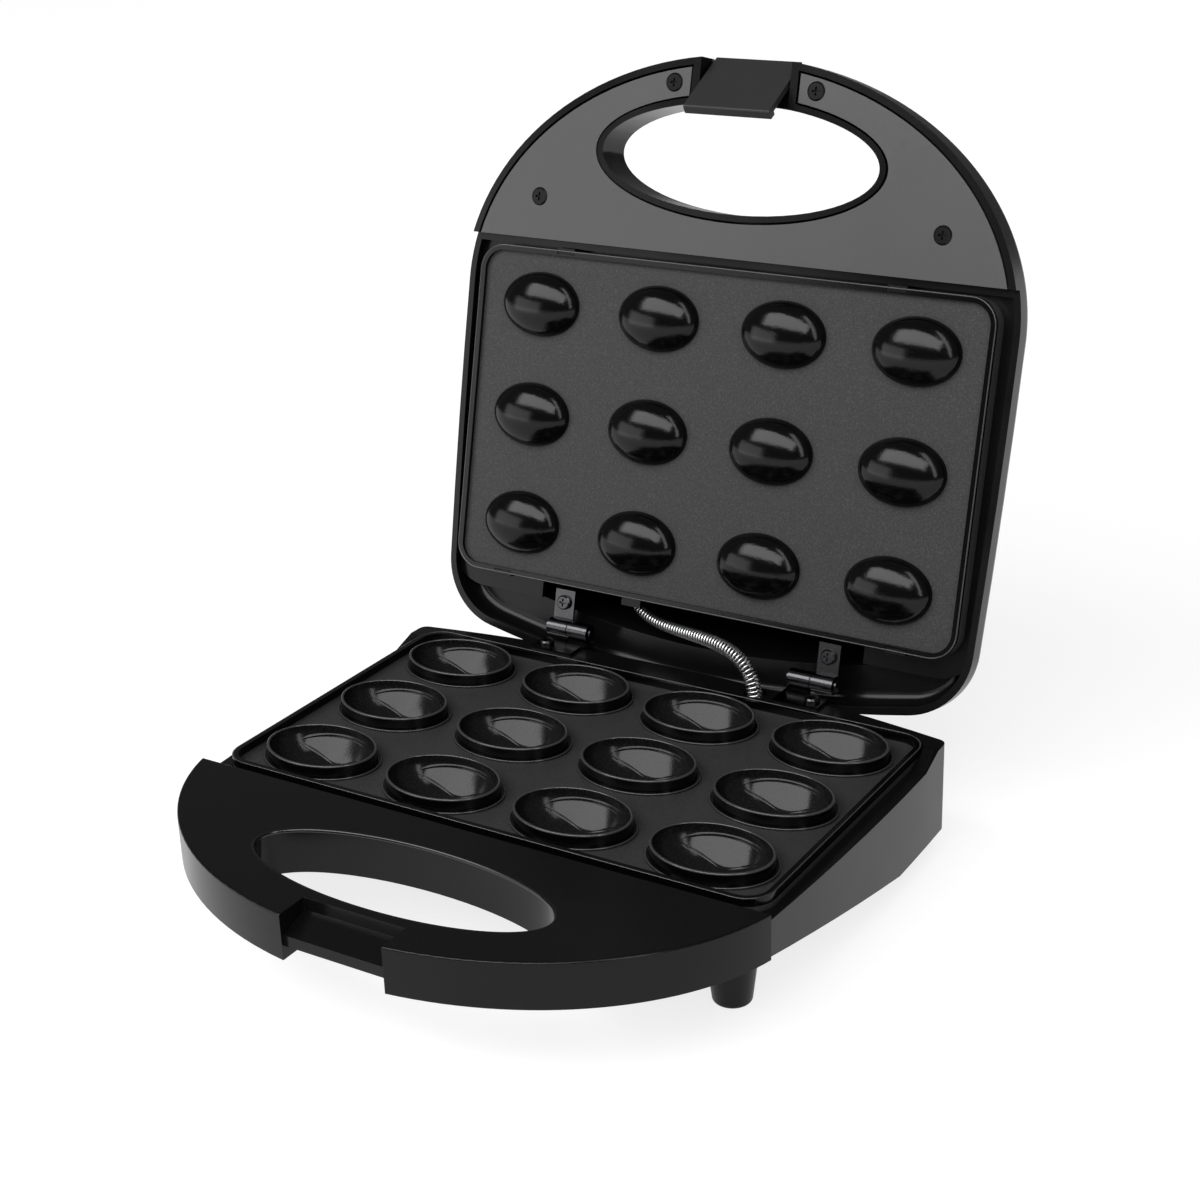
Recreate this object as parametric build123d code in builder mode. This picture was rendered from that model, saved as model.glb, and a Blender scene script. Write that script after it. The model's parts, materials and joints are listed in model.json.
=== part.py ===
from build123d import *
import os
from math import asin, atan, cos, degrees, pi, radians, sin, sqrt

# Electric nut cookie maker, open. Millimetres. X is the width, Y runs from the handle back to the
# hinge and Z is up. The origin is on the table, under the middle of the opened machine.
# The lid's pieces are drawn in the closed position and swung open about the hinge at the end.

os.makedirs("parts", exist_ok=True)

# Plates and moulds
plate_center_y = -4.7
plate_width = 215.0
plate_depth = 129.0
plate_corner_r = 10.0
plate_thickness = 2.5
plate_lip_width = 2.2
plate_clearance = 0.4
mould_columns = 4
mould_rows = 3
mould_pitch_x = 52.5
mould_pitch_y = 43.0
mould_top_z = 47.0
ring_half_length = 21.5
ring_half_width = 16.0
ring_height = 5.0
ring_foot_flare = 1.4
ring_foot_height = 0.9
ring_edge_r = 0.5
ring_foot_edge_r = 0.4
ring_land = 1.1
bowl_depth = 12.5
bowl_floor_half_length = 17.9
bowl_floor_half_width = 12.2
bowl_floor_depth = 14.0
bowl_wall = 1.9
dome_half_length = 17.2
dome_half_width = 12.5
dome_height = 8.0
dome_wall = 2.0
mould_gap = 0.4
lower_lip_height = 3.2
lip_gap = 0.4
skirt_drop = 3.0

# Housings
wall = 2.5
parting_z = 45.5
parting_gap = 0.4
handle_height = 16.3
handle_half_width = 115.0
handle_reach = 91.0
handle_center_offset = -50.0
handle_back_offset = -68.0
cover_skirt_gap = 0.3
handle_edge_r = 0.8
base_front_offset = -67.7
base_front_half_width = 110.4
base_side_half_width = 113.6
base_rear_half_width = 113.0
base_rear_corner_offset = 66.0
base_rear_offset = 77.0
base_corner_r = 3.5
base_bottom_z = 11.0
base_nose_bottom_z = 28.3
base_slope_end_offset = 26.0
base_rim_z = 40.6
base_deck_z = 44.5
rim_ramp_start_offset = 47.0
rim_ramp_end_offset = 58.0
ledge_thickness = 2.5
ledge_width = 4.0

# Lid shell
lid_side_half_width = 115.5
lid_side_middle_offset = 13.0
lid_rear_half_width = 112.3
lid_rear_corner_offset = 82.5
lid_rear_offset = 96.5
lid_corner_r = 27.0
lid_rim_step = 3.5
lid_brim_height = 16.0
lid_brim_round = 7.0
lid_top_z = 84.5
lid_dome_inset = 11.0
lid_dome_front_offset = -74.0
lid_dome_corner_r = 34.0
lid_dome_bow = 6.0
lid_dome_taper = 24.0
lid_dome_round = 9.0
panel_groove = 0.8
panel_recess = 0.3
panel_head_sink = 1.2
divider_gap = 0.2
ledge_reach = 8.0
rear_ledge_gap_x = 70.0

# Finger holes
finger_offset = -104.0
finger_half_length = 57.0
finger_half_width = 20.0
collar_wall = 2.4

# Latch
latch_width = 35.0
latch_slot_width = 37.0
base_notch_width = 39.0
notch_back_offset = -127.7
notch_back_drop = 4.4
notch_front_drop = 8.2
nose_front_offset = -138.2
nose_bottom_drop = 12.0
hook_room_offset = -131.5
latch_pivot_offset = -136.0
latch_pivot_z = 58.0
latch_pin_r = 1.5
latch_barrel_r = 2.7
latch_plate_gap = 0.4
latch_plate_thickness = 2.4
latch_top_rise = 1.2
hook_catch = 1.4
hook_gap = 0.4
hook_height = 3.4
ear_wall = 3.0
bridge_drop = 8.0
bridge_front_offset = -133.0
latch_hang_deg = 41.0
pin_seat_depth = 2.3
pin_end_gap = 0.2

# Hinge
hinge_offset = 82.0
hinge_z = 48.5
opening_deg = 104.0
knuckle_r = 3.5
knuckle_length = 8.8
knuckle_gap = 0.4
knuckle_inner_x = 44.0
hinge_pin_r = 1.5
running_clearance = 0.05
leaf_thickness = 1.2
leaf_front_offset = 67.0
leaf_screw_x = 57.6
leaf_screw_offset = 72.0
lid_leaf_rise = 1.5
pin_head_r = 2.2
pin_head_height = 0.6

# Screws
screw_r = 1.4
screw_clearance = 0.1
small_head_r = 2.9
panel_head_r = 3.4
head_height = 1.6
cross_width = 0.7
cross_length = 3.2
cross_depth = 0.9
boss_r = 3.6
panel_screw_front_x = 29.0
panel_screw_front_offset = -130.0
panel_screw_side_x = 83.5
panel_screw_side_offset = -84.0
panel_screw_length = 9.0
post_r = 4.2
housing_post_r = 5.0
counterbore_r = 3.3
leaf_screw_length = 6.0
plate_screw_length = 9.0
clamp_screw_length = 5.5
terminal_head_r = 1.9
terminal_screw_length = 3.5
post_x = 52.5
post_y = 43.0

# Heating
heater_r = 3.25
heater_y = 21.5
heater_end_x = 95.0
heater_bend_x = 100.0
heater_bend_r = 10.0
heater_terminal_r = 1.2
heater_terminal_length = 6.0
clamp_half_length = 29.0
clamp_width = 12.0
clamp_thickness = 1.2
clamp_x = 52.5
reflector_half_width = 88.0
reflector_thickness = 0.8
lower_reflector_z = 27.0
upper_reflector_gap = 11.0
lower_reflector_front_offset = -46.5
upper_reflector_front_offset = -50.0
reflector_rear_offset = 55.0

# Feet
foot_x = 91.0
front_foot_offset = -53.0
rear_foot_offset = 58.0
foot_top_r = 10.0
foot_bottom_r = 6.5
foot_round = 1.4
foot_sink = 5.0
foot_screw_seat_z = 4.0

# Cord entry and wiring
gland_z = 21.0
gland_bore_r = 3.6
gland_neck_r = 5.2
gland_flange_r = 7.4
gland_flange_thickness = 2.0
gland_snap_r = 6.2
gland_gap = 0.15
block_width = 36.0
block_depth = 14.0
block_height = 9.0
block_offset = 21.5
block_slot = 2.0
lead_r = 0.9
lead_bend_r = 5.5
lead_floor_gap = 2.5
lead_front_z = 25.5
conduit_lead_x = 8.0
conduit_wire_r = 0.4
conduit_start_r = 1.7
conduit_end_r = 2.8
conduit_pitch = 1.85
conduit_hole_gap = 1.1
conduit_end_x = 35.0
conduit_end_offset = 70.5
conduit_end_z = 40.0
conduit_start_x = -29.0
conduit_start_offset = 68.0
conduit_start_z = 56.0
conduit_start_deg = 46.6
conduit_start_pull = 20.4
conduit_end_pull = 34.0
conduit_inner_run = 6.0
core_spans = 8
rib_half_width = 4.2
rib_depth = 4.0
rib_proud = 0.8
rib_gap = 0.85
rib_drop = 4.0
conduit_core_r = 1.1
connector_center_x = -40.0
connector_width = 16.0
connector_depth = 7.0
connector_height = 9.5
connector_edge_gap = 3.0
lid_lead_step = 5.0
lid_lead_bend_r = 2.0

# Plate clips
clip_sheet = 0.6
clip_gap = 0.2
clip_front_x = 69.0
clip_rear_x = 85.0
clip_width = 7.5
clip_reach = 3.0
clip_hook_reach = 1.5

# Thermostat, fuse and lamps
thermostat_r = 8.0
thermostat_height = 7.0
thermostat_offset = -43.0
thermostat_flange_r = 9.0
thermostat_flange = 1.2
strap_width = 8.0
strap_leg = 12.5
strap_foot = 4.0
strap_sheet = 0.8
strap_post_height = 3.0
strap_post_r = 3.0
strap_gap = 0.1
fuse_r = 2.0
fuse_length = 11.0
lamp_x = 13.0
lamp_offset = -37.0
lamp_r = 3.0
lamp_length = 8.0
lens_r = 4.0
lens_flange_r = 5.2
lens_flange = 1.0
lens_proud = 1.6
lens_gap = 0.1

# Derived places
big = 400.0
handle_center_y = plate_center_y + handle_center_offset
handle_back_y = plate_center_y + handle_back_offset
finger_y = plate_center_y + finger_offset
hinge_y = plate_center_y + hinge_offset
hinge_axis = Axis((0, hinge_y, hinge_z), (1, 0, 0))
handle_bottom_z = parting_z - handle_height
plate_flat_z = mould_top_z - ring_height
plate_under_z = plate_flat_z - plate_thickness
lower_lip_z = plate_flat_z + lower_lip_height
ledge_z = plate_under_z - 0.5
ledge_bottom_z = ledge_z - ledge_thickness
lid_face_z = parting_z + parting_gap
lid_rim_z = lid_face_z + lid_rim_step
lid_brim_z = lid_face_z + lid_brim_height
upper_flat_z = mould_top_z + mould_gap
upper_back_z = upper_flat_z + plate_thickness
upper_skirt_z = upper_back_z + skirt_drop
lid_ledge_top_z = upper_skirt_z + ledge_thickness
base_rear_y = plate_center_y + base_rear_offset
lid_rear_y = plate_center_y + lid_rear_offset
conduit_end_y = plate_center_y + conduit_end_offset
conduit_hole_r = conduit_end_r + conduit_wire_r + conduit_hole_gap


def finish(piece, name):
    """Name a piece of the base and write it."""
    piece.part.label = name
    export_step(piece.part, f"parts/{name}.step")


def finish_on_lid(piece, name):
    """Swing a piece drawn closed up with the opened lid, then name and write it."""
    opened = piece.part.rotate(hinge_axis, -opening_deg)
    opened.label = name
    export_step(opened, f"parts/{name}.step")


def handle_outline(inset, back_y):
    """The bow of the handle: a half ellipse closed by a straight back."""
    a = handle_half_width - inset
    b = handle_reach - inset
    rise = degrees(asin((handle_center_y - back_y) / b))
    with BuildSketch() as outline:
        with BuildLine():
            bow = EllipticalCenterArc((0, handle_center_y), a, b, 180 + rise, arc_size=180 - 2 * rise)
            Line(bow @ 1, bow @ 0)
        make_face()
    return outline.sketch


def lid_outline(inset):
    """The lid in plan: a half ellipse for the handle, then long side arcs and a bowed rear."""
    a = handle_half_width - inset
    b = handle_reach - inset
    corner_x = lid_rear_half_width - inset
    corner_y = plate_center_y + lid_rear_corner_offset - inset
    with BuildSketch() as outline:
        with BuildLine():
            EllipticalCenterArc((0, handle_center_y), a, b, 180, arc_size=180)
            TangentArc((a, handle_center_y), (corner_x, corner_y), tangent=(0, 1))
            ThreePointArc((corner_x, corner_y), (0, lid_rear_y - inset), (-corner_x, corner_y))
            TangentArc((-a, handle_center_y), (-corner_x, corner_y), tangent=(0, 1))
        make_face()
        fillet(vertices().group_by(Axis.Y)[-1], lid_corner_r - inset)
    return outline.sketch


def lid_dome_outline(inset):
    """The raised middle of the lid in plan, with its four corners well rounded."""
    front_y = plate_center_y + lid_dome_front_offset + inset
    side = (lid_side_half_width - inset, plate_center_y + lid_side_middle_offset)
    corner_x = lid_rear_half_width - inset
    corner_y = plate_center_y + lid_rear_corner_offset - inset
    with BuildSketch() as outline:
        with BuildLine():
            ThreePointArc((-corner_x, front_y), (0, front_y - lid_dome_bow), (corner_x, front_y))
            ThreePointArc((corner_x, front_y), side, (corner_x, corner_y))
            ThreePointArc((corner_x, corner_y), (0, lid_rear_y - inset), (-corner_x, corner_y))
            ThreePointArc((-corner_x, corner_y), (-side[0], side[1]), (-corner_x, front_y))
        make_face()
        fillet(vertices(), lid_dome_corner_r - (inset - lid_dome_inset))
    return outline.sketch


def base_outline(inset):
    """The base housing behind the handle in plan: straight front, bulged sides, bowed rear."""
    front_y = plate_center_y + base_front_offset + inset
    front_x = base_front_half_width - inset
    side = (base_side_half_width - inset, plate_center_y)
    corner_x = base_rear_half_width - inset
    corner_y = plate_center_y + base_rear_corner_offset - inset
    with BuildSketch() as outline:
        with BuildLine():
            Line((-front_x, front_y), (front_x, front_y))
            ThreePointArc((front_x, front_y), side, (corner_x, corner_y))
            ThreePointArc((corner_x, corner_y), (0, base_rear_y - inset), (-corner_x, corner_y))
            ThreePointArc((-corner_x, corner_y), (-side[0], side[1]), (-front_x, front_y))
        make_face()
        fillet(vertices().group_by(Axis.Y)[-1], base_corner_r - min(inset, base_corner_r / 2))
    return outline.sketch


def plate_outline(inset, mode=Mode.ADD):
    """A baking plate in plan, drawn smaller by an inset (larger where it is negative)."""
    with Locations((0, plate_center_y)):
        RectangleRounded(
            plate_width - 2 * inset, plate_depth - 2 * inset, plate_corner_r - inset, mode=mode
        )


def finger_hole(grow, mode=Mode.ADD):
    """The oval finger hole, drawn larger by grow."""
    with Locations((0, finger_y)):
        Ellipse(finger_half_length + grow, finger_half_width + grow, mode=mode)


def front_slot(width, back_offset, mode=Mode.SUBTRACT):
    """A strip in plan from back_offset forward past the handle's front edge."""
    with Locations((0, plate_center_y + back_offset)):
        Rectangle(width, big, align=(Align.CENTER, Align.MAX), mode=mode)


def side_profile(points, half_width=big):
    """A bar along X whose side view is given as (y from the plates' middle, z) points."""
    with BuildPart() as bar:
        with BuildSketch(Plane.YZ):
            with BuildLine():
                Polyline([(plate_center_y + y, z) for y, z in points], close=True)
            make_face()
        extrude(amount=half_width, both=True)
    return bar.part


def round_column(x, y, radius, low_z, high_z, mode=Mode.ADD):
    """A round post, boss or hole standing along Z."""
    with Locations((x, y, low_z)):
        Cylinder(radius, high_z - low_z, align=(Align.CENTER, Align.CENTER, Align.MIN), mode=mode)


def mould_places():
    """The middles of the moulds."""
    return GridLocations(mould_pitch_x, mould_pitch_y, mould_columns, mould_rows)


def posts():
    """The middles of the plate's four posts."""
    return GridLocations(2 * post_x, 2 * post_y, 2, 2)


def ellipsoid(a, b, c):
    """An egg of three half axes, at the origin."""
    with BuildPart() as egg:
        Sphere(1)
        scale(by=(a, b, c))
    return egg.part


def oval_step(a, b, height, edge_r):
    """An upright oval of two half axes whose upper edge is rounded, standing on the origin."""
    with BuildPart() as step:
        with BuildSketch():
            Ellipse(a, b)
        extrude(amount=height)
        fillet(step.edges().group_by(Axis.Z)[-1], edge_r)
    return step.part


def underside_z(y_offset):
    """Height of the base's underside at a distance from the plates' middle."""
    if y_offset >= base_slope_end_offset:
        return base_bottom_z
    run = (base_slope_end_offset - y_offset) / (base_slope_end_offset - base_front_offset)
    return base_bottom_z + run * (base_nose_bottom_z - base_bottom_z)


def cross_recess(head_z):
    """The cross slot of a screw whose head faces down at head_z below the local origin."""
    with Locations((0, 0, head_z)):
        Box(cross_length, cross_width, 2 * cross_depth, mode=Mode.SUBTRACT)
        Box(cross_width, cross_length, 2 * cross_depth, mode=Mode.SUBTRACT)


def screw_form(head_r, shaft_length):
    """A pan-head cross screw along +Z, the head's seat at the origin."""
    with BuildPart() as screw:
        Cylinder(head_r, head_height, align=(Align.CENTER, Align.CENTER, Align.MAX))
        chamfer(screw.edges().group_by(Axis.Z)[0], head_height / 3)
        Cylinder(screw_r, shaft_length, align=(Align.CENTER, Align.CENTER, Align.MIN))
        cross_recess(-head_height)
    return screw.part


def screws(places, head_r, shaft_length, facing_up=False):
    """Several screws in one part, their seats at places, heads down unless facing_up."""
    turn = 180 if facing_up else 0
    with BuildPart() as group:
        for x, y, z in places:
            with Locations(Location((x, y, z), (turn, 0, 0))):
                add(screw_form(head_r, shaft_length))
    return group


def both_sides(x, y, z):
    """A place and its mirror image across the middle."""
    return [(-x, y, z), (x, y, z)]


# Base housing: the tub that holds the lower plate, and the tongue that closes the handle below
base_front_y = plate_center_y + base_front_offset
deck_front_offset = plate_depth / 2 + plate_clearance
under_deck_z = base_deck_z - wall
plate_screw_seat_z = lower_reflector_z - head_height
foot_places = [
    (x, plate_center_y + y, underside_z(y))
    for y in (front_foot_offset, rear_foot_offset)
    for x in (-foot_x, foot_x)
]
post_places = [
    (x, plate_center_y + y) for y in (-post_y, post_y) for x in (-post_x, post_x)
]
base_leaf_seats = both_sides(
    leaf_screw_x, plate_center_y + leaf_screw_offset, base_deck_z + leaf_thickness
)
conduit_start = Vector(conduit_start_x, plate_center_y + conduit_start_offset, conduit_start_z)
conduit_start_way = Vector(cos(radians(conduit_start_deg)), sin(radians(conduit_start_deg)), 0)
foot_boss_height = wall + foot_sink
hole_r = screw_r + screw_clearance

with BuildPart() as base_hollow:
    with BuildSketch(Plane.XY):
        add(base_outline(wall))
    extrude(amount=big)
    add(side_profile([
        (base_front_offset, underside_z(base_front_offset) + wall),
        (base_slope_end_offset, base_bottom_z + wall),
        (base_rear_offset, base_bottom_z + wall),
        (base_rear_offset, under_deck_z),
        (deck_front_offset + wall, under_deck_z),
        (deck_front_offset + wall, ledge_bottom_z),
        (base_front_offset, ledge_bottom_z),
    ]), mode=Mode.INTERSECT)
    for x, y in post_places:
        round_column(x, y, housing_post_r, 0, lower_reflector_z, Mode.SUBTRACT)
    for x, y, z in foot_places:
        round_column(x, y, boss_r, 0, z + foot_boss_height, Mode.SUBTRACT)
    for x, y, z in base_leaf_seats:
        round_column(x, y, boss_r, ledge_bottom_z - foot_sink, z, Mode.SUBTRACT)

with BuildPart() as base_housing:
    with BuildSketch(Plane.XY.offset(base_bottom_z)):
        add(base_outline(0))
    extrude(amount=base_deck_z - base_bottom_z)
    add(side_profile([
        (base_front_offset - wall, base_bottom_z - wall),
        (base_front_offset - wall, underside_z(base_front_offset)),
        (base_front_offset, underside_z(base_front_offset)),
        (base_slope_end_offset, base_bottom_z),
        (base_slope_end_offset, base_bottom_z - wall),
    ]), mode=Mode.SUBTRACT)
    add(side_profile([
        (base_front_offset - wall, base_rim_z),
        (rim_ramp_start_offset, base_rim_z),
        (rim_ramp_end_offset, base_deck_z),
        (rim_ramp_end_offset, base_deck_z + wall),
        (base_front_offset - wall, base_deck_z + wall),
    ]), mode=Mode.SUBTRACT)
    # The tongue stays clear of the cover's skirt, finger collar and latch nose
    tongue_gap = wall + cover_skirt_gap
    with BuildSketch(Plane.XY.offset(handle_bottom_z)):
        add(handle_outline(tongue_gap, base_front_y + wall))
        finger_hole(collar_wall + cover_skirt_gap, Mode.SUBTRACT)
        front_slot(base_notch_width + 2 * tongue_gap, notch_back_offset + tongue_gap)
    extrude(amount=wall)
    add(base_hollow.part, mode=Mode.SUBTRACT)
    # The well that the plate drops into, and the window through its ledge
    with BuildSketch(Plane.XY.offset(ledge_z)):
        plate_outline(-plate_clearance)
    extrude(amount=big, mode=Mode.SUBTRACT)
    with BuildSketch(Plane.XY.offset(ledge_bottom_z - wall)):
        plate_outline(ledge_width)
    extrude(amount=big, mode=Mode.SUBTRACT)
    # Screw holes for the plate's posts, the feet and the hinge leaves
    for x, y in post_places:
        round_column(x, y, hole_r, 0, lower_reflector_z, Mode.SUBTRACT)
        round_column(x, y, counterbore_r, 0, plate_screw_seat_z, Mode.SUBTRACT)
    for x, y, z in foot_places:
        round_column(x, y, hole_r, 0, z + foot_boss_height - 1, Mode.SUBTRACT)
    for x, y, z in base_leaf_seats:
        round_column(x, y, hole_r, z - leaf_screw_length - 1, z, Mode.SUBTRACT)
    # The conduit's hole in the rear deck and the gland's hole in the rear wall
    round_column(conduit_end_x, conduit_end_y, conduit_hole_r, under_deck_z - wall, big, Mode.SUBTRACT)
    with BuildSketch(Plane.XZ.offset(-base_rear_y)):
        with Locations((0, gland_z)):
            Circle(gland_neck_r + gland_gap)
    extrude(amount=2 * wall, both=True, mode=Mode.SUBTRACT)
finish(base_housing, "base_housing")

# Base handle cover: a skirted shell with the finger collar and the latch's nose
with BuildPart() as cover_hollow:
    with BuildSketch(Plane.XY.offset(handle_bottom_z - wall)):
        add(handle_outline(wall, handle_back_y + wall))
        finger_hole(collar_wall, Mode.SUBTRACT)
        front_slot(base_notch_width + 2 * wall, notch_back_offset + wall)
    extrude(amount=handle_height)

with BuildPart() as base_handle_cover:
    with BuildSketch(Plane.XY.offset(handle_bottom_z)):
        add(handle_outline(0, handle_back_y))
    extrude(amount=handle_height)
    fillet(base_handle_cover.edges().group_by(Axis.Z)[-1], handle_edge_r)
    add(cover_hollow.part, mode=Mode.SUBTRACT)
    with BuildSketch(Plane.XY.offset(handle_bottom_z)):
        finger_hole(0)
    extrude(amount=big, mode=Mode.SUBTRACT)
    notch_front = -handle_reach + handle_center_offset - wall
    notch_low_z = parting_z - notch_front_drop
    nose_low_z = parting_z - nose_bottom_drop
    notch_half = base_notch_width / 2
    add(side_profile([
        (notch_back_offset, parting_z + wall),
        (notch_back_offset, parting_z - notch_back_drop),
        (nose_front_offset, notch_low_z),
        (notch_front, notch_low_z),
        (notch_front, parting_z + wall),
    ], notch_half), mode=Mode.SUBTRACT)
    add(side_profile([
        (nose_front_offset, 0),
        (nose_front_offset, parting_z),
        (notch_front, parting_z),
        (notch_front, 0),
    ], notch_half), mode=Mode.SUBTRACT)
    add(side_profile([
        (hook_room_offset, 0),
        (hook_room_offset, nose_low_z),
        (notch_front, nose_low_z),
        (notch_front, 0),
    ], notch_half), mode=Mode.SUBTRACT)
finish(base_handle_cover, "base_handle_cover")

# Lower plate: one casting with raised oval rings round twelve bowls.
# A deeper, smaller egg sinks the floor of each bowl and leaves a crease round it.
bowl_half_length = ring_half_length - ring_land
bowl_half_width = ring_half_width - ring_land
bowl_form = ellipsoid(bowl_half_length, bowl_half_width, bowl_depth)
bowl_floor_form = ellipsoid(bowl_floor_half_length, bowl_floor_half_width, bowl_floor_depth)
bowl_shell_form = ellipsoid(
    bowl_half_length + bowl_wall, bowl_half_width + bowl_wall, bowl_floor_depth + bowl_wall
)
ring_form = oval_step(ring_half_length, ring_half_width, ring_height, ring_edge_r)
ring_foot_form = oval_step(
    ring_half_length + ring_foot_flare, ring_half_width + ring_foot_flare,
    ring_foot_height, ring_foot_edge_r
)
heater_gap = 0.1
lower_heater_z = plate_under_z - heater_r - heater_gap
lower_clamp_z = lower_heater_z - heater_r - heater_gap

with BuildPart() as lower_plate:
    with Locations((0, plate_center_y, mould_top_z)):
        with mould_places():
            add(bowl_shell_form)
    add(side_profile([
        (-big, 0), (big, 0), (big, plate_flat_z - wall / 2), (-big, plate_flat_z - wall / 2),
    ]), mode=Mode.INTERSECT)
    with BuildSketch(Plane.XY.offset(plate_under_z)):
        plate_outline(0)
    extrude(amount=plate_thickness)
    with BuildSketch(Plane.XY.offset(ledge_z)):
        plate_outline(0)
        plate_outline(plate_lip_width, Mode.SUBTRACT)
    extrude(amount=lower_lip_z - ledge_z)
    with Locations((0, plate_center_y, plate_flat_z)):
        with mould_places():
            add(ring_foot_form)
            add(ring_form)
    with Locations((0, plate_center_y, mould_top_z)):
        with mould_places():
            add(bowl_form, mode=Mode.SUBTRACT)
            add(bowl_floor_form, mode=Mode.SUBTRACT)
    for x, y in post_places:
        round_column(x, y, post_r, lower_reflector_z + reflector_thickness, plate_under_z)
        round_column(x, y, hole_r, 0, plate_under_z, Mode.SUBTRACT)
    for x in (-clamp_x, clamp_x):
        round_column(x, plate_center_y, post_r, lower_clamp_z, plate_under_z)
        round_column(x, plate_center_y, hole_r, 0, plate_under_z, Mode.SUBTRACT)
finish(lower_plate, "lower_plate")

# Feet: round cones, cut to the underside that they meet
for (x, y, z), name in zip(foot_places, ("front_left", "front_right", "rear_left", "rear_right")):
    with BuildPart() as foot:
        with BuildSketch():
            with Locations((x, y)):
                Circle(foot_bottom_r)
        taper = -degrees(atan((foot_top_r - foot_bottom_r) / base_nose_bottom_z))
        extrude(amount=base_nose_bottom_z, taper=taper)
        fillet(foot.edges().group_by(Axis.Z)[0], foot_round)
        add(side_profile([
            (base_front_offset, 0),
            (base_front_offset, underside_z(base_front_offset)),
            (base_slope_end_offset, base_bottom_z),
            (base_rear_offset, base_bottom_z),
            (base_rear_offset, 0),
        ]), mode=Mode.INTERSECT)
        round_column(x, y, hole_r, 0, big, Mode.SUBTRACT)
        round_column(x, y, counterbore_r, 0, foot_screw_seat_z, Mode.SUBTRACT)
    finish(foot, f"foot_{name}")

with BuildPart() as foot_screws:
    for x, y, z in foot_places:
        with Locations((x, y, foot_screw_seat_z)):
            add(screw_form(small_head_r, z + foot_sink - foot_screw_seat_z))
finish(foot_screws, "foot_screws")

lower_plate_screws = screws(
    [(x, y, plate_screw_seat_z) for x, y in post_places], small_head_r, plate_screw_length
)
finish(lower_plate_screws, "lower_plate_screws")


def heater_element(z):
    """A tubular heating element bent in a U, with a thin terminal on each end."""
    path_points = [
        (heater_end_x, plate_center_y - heater_y, z),
        (-heater_bend_x, plate_center_y - heater_y, z),
        (-heater_bend_x, plate_center_y + heater_y, z),
        (heater_end_x, plate_center_y + heater_y, z),
    ]
    with BuildPart() as element:
        with BuildLine() as path:
            FilletPolyline(*path_points, radius=heater_bend_r)
        with BuildSketch(Plane(path_points[0], z_dir=(-1, 0, 0))):
            Circle(heater_r)
        sweep(path=path.wires()[0])
        for side in (-1, 1):
            end = Plane((heater_end_x, plate_center_y + side * heater_y, z), z_dir=(1, 0, 0))
            with BuildSketch(end):
                Circle(heater_terminal_r)
            extrude(amount=heater_terminal_length)
    return element


def heater_clamps(low_z):
    """Two flat bars that hold the element against the plate, with a screw hole each."""
    with BuildPart() as clamps:
        for x in (-clamp_x, clamp_x):
            with Locations((x, plate_center_y, low_z)):
                Box(clamp_width, 2 * clamp_half_length, clamp_thickness,
                    align=(Align.CENTER, Align.CENTER, Align.MIN))
                Cylinder(hole_r, 4 * clamp_thickness, mode=Mode.SUBTRACT)
    return clamps


def reflector(low_z, front_offset):
    """A thin steel sheet with rounded corners and a hole at each post."""
    depth = reflector_rear_offset - front_offset
    with BuildPart() as sheet:
        with BuildSketch(Plane.XY.offset(low_z)):
            with Locations((0, plate_center_y + front_offset + depth / 2)):
                RectangleRounded(2 * reflector_half_width, depth, plate_corner_r)
            with Locations((0, plate_center_y)):
                with posts():
                    Circle(hole_r, mode=Mode.SUBTRACT)
        extrude(amount=reflector_thickness)
    return sheet


finish(heater_element(lower_heater_z), "lower_heater")
finish(heater_clamps(lower_clamp_z - clamp_thickness), "lower_heater_clamps")
finish(reflector(lower_reflector_z, lower_reflector_front_offset), "lower_reflector")
lower_clamp_screws = screws(
    [(x, plate_center_y, lower_clamp_z - clamp_thickness) for x in (-clamp_x, clamp_x)],
    small_head_r, clamp_screw_length,
)
finish(lower_clamp_screws, "lower_clamp_screws")

# Cord entry: a flanged bush snapped through the rear wall
with BuildPart() as cord_gland:
    for y_low, radius, length in (
        (base_rear_y + gland_gap, gland_flange_r, gland_flange_thickness),
        (base_rear_y - wall - gland_gap, gland_neck_r, wall + 2 * gland_gap),
        (base_rear_y - wall - gland_gap - gland_flange_thickness, gland_snap_r, gland_flange_thickness),
    ):
        with BuildSketch(Plane((0, y_low, gland_z), x_dir=(1, 0, 0), z_dir=(0, 1, 0))):
            Circle(radius)
        extrude(amount=length)
    with BuildSketch(Plane((0, base_rear_y - big / 4, gland_z), x_dir=(1, 0, 0), z_dir=(0, 1, 0))):
        Circle(gland_bore_r)
    extrude(amount=big, mode=Mode.SUBTRACT)
finish(cord_gland, "cord_gland")

# Terminal block on the tub's floor
block_y = plate_center_y + block_offset
block_low_z = underside_z(block_offset - block_depth / 2) + wall
block_top_z = block_low_z + block_height
terminal_places = [
    (x, block_y + y, block_top_z)
    for x in (-block_width / 3, 0, block_width / 3)
    for y in (-block_depth / 4, block_depth / 4)
]
with BuildPart() as terminal_block:
    with Locations((0, block_y, block_low_z)):
        Box(block_width, block_depth, block_height, align=(Align.CENTER, Align.CENTER, Align.MIN))
    for x in (-block_width / 6, block_width / 6):
        with Locations((x, block_y, block_top_z)):
            Box(block_slot, block_depth, block_height, mode=Mode.SUBTRACT)
    for x, y, z in terminal_places:
        round_column(x, y, hole_r, z - terminal_screw_length - 1, z, Mode.SUBTRACT)
finish(terminal_block, "terminal_block")
terminal_screws = screws(terminal_places, terminal_head_r, terminal_screw_length, facing_up=True)
finish(terminal_screws, "terminal_screws")


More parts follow.
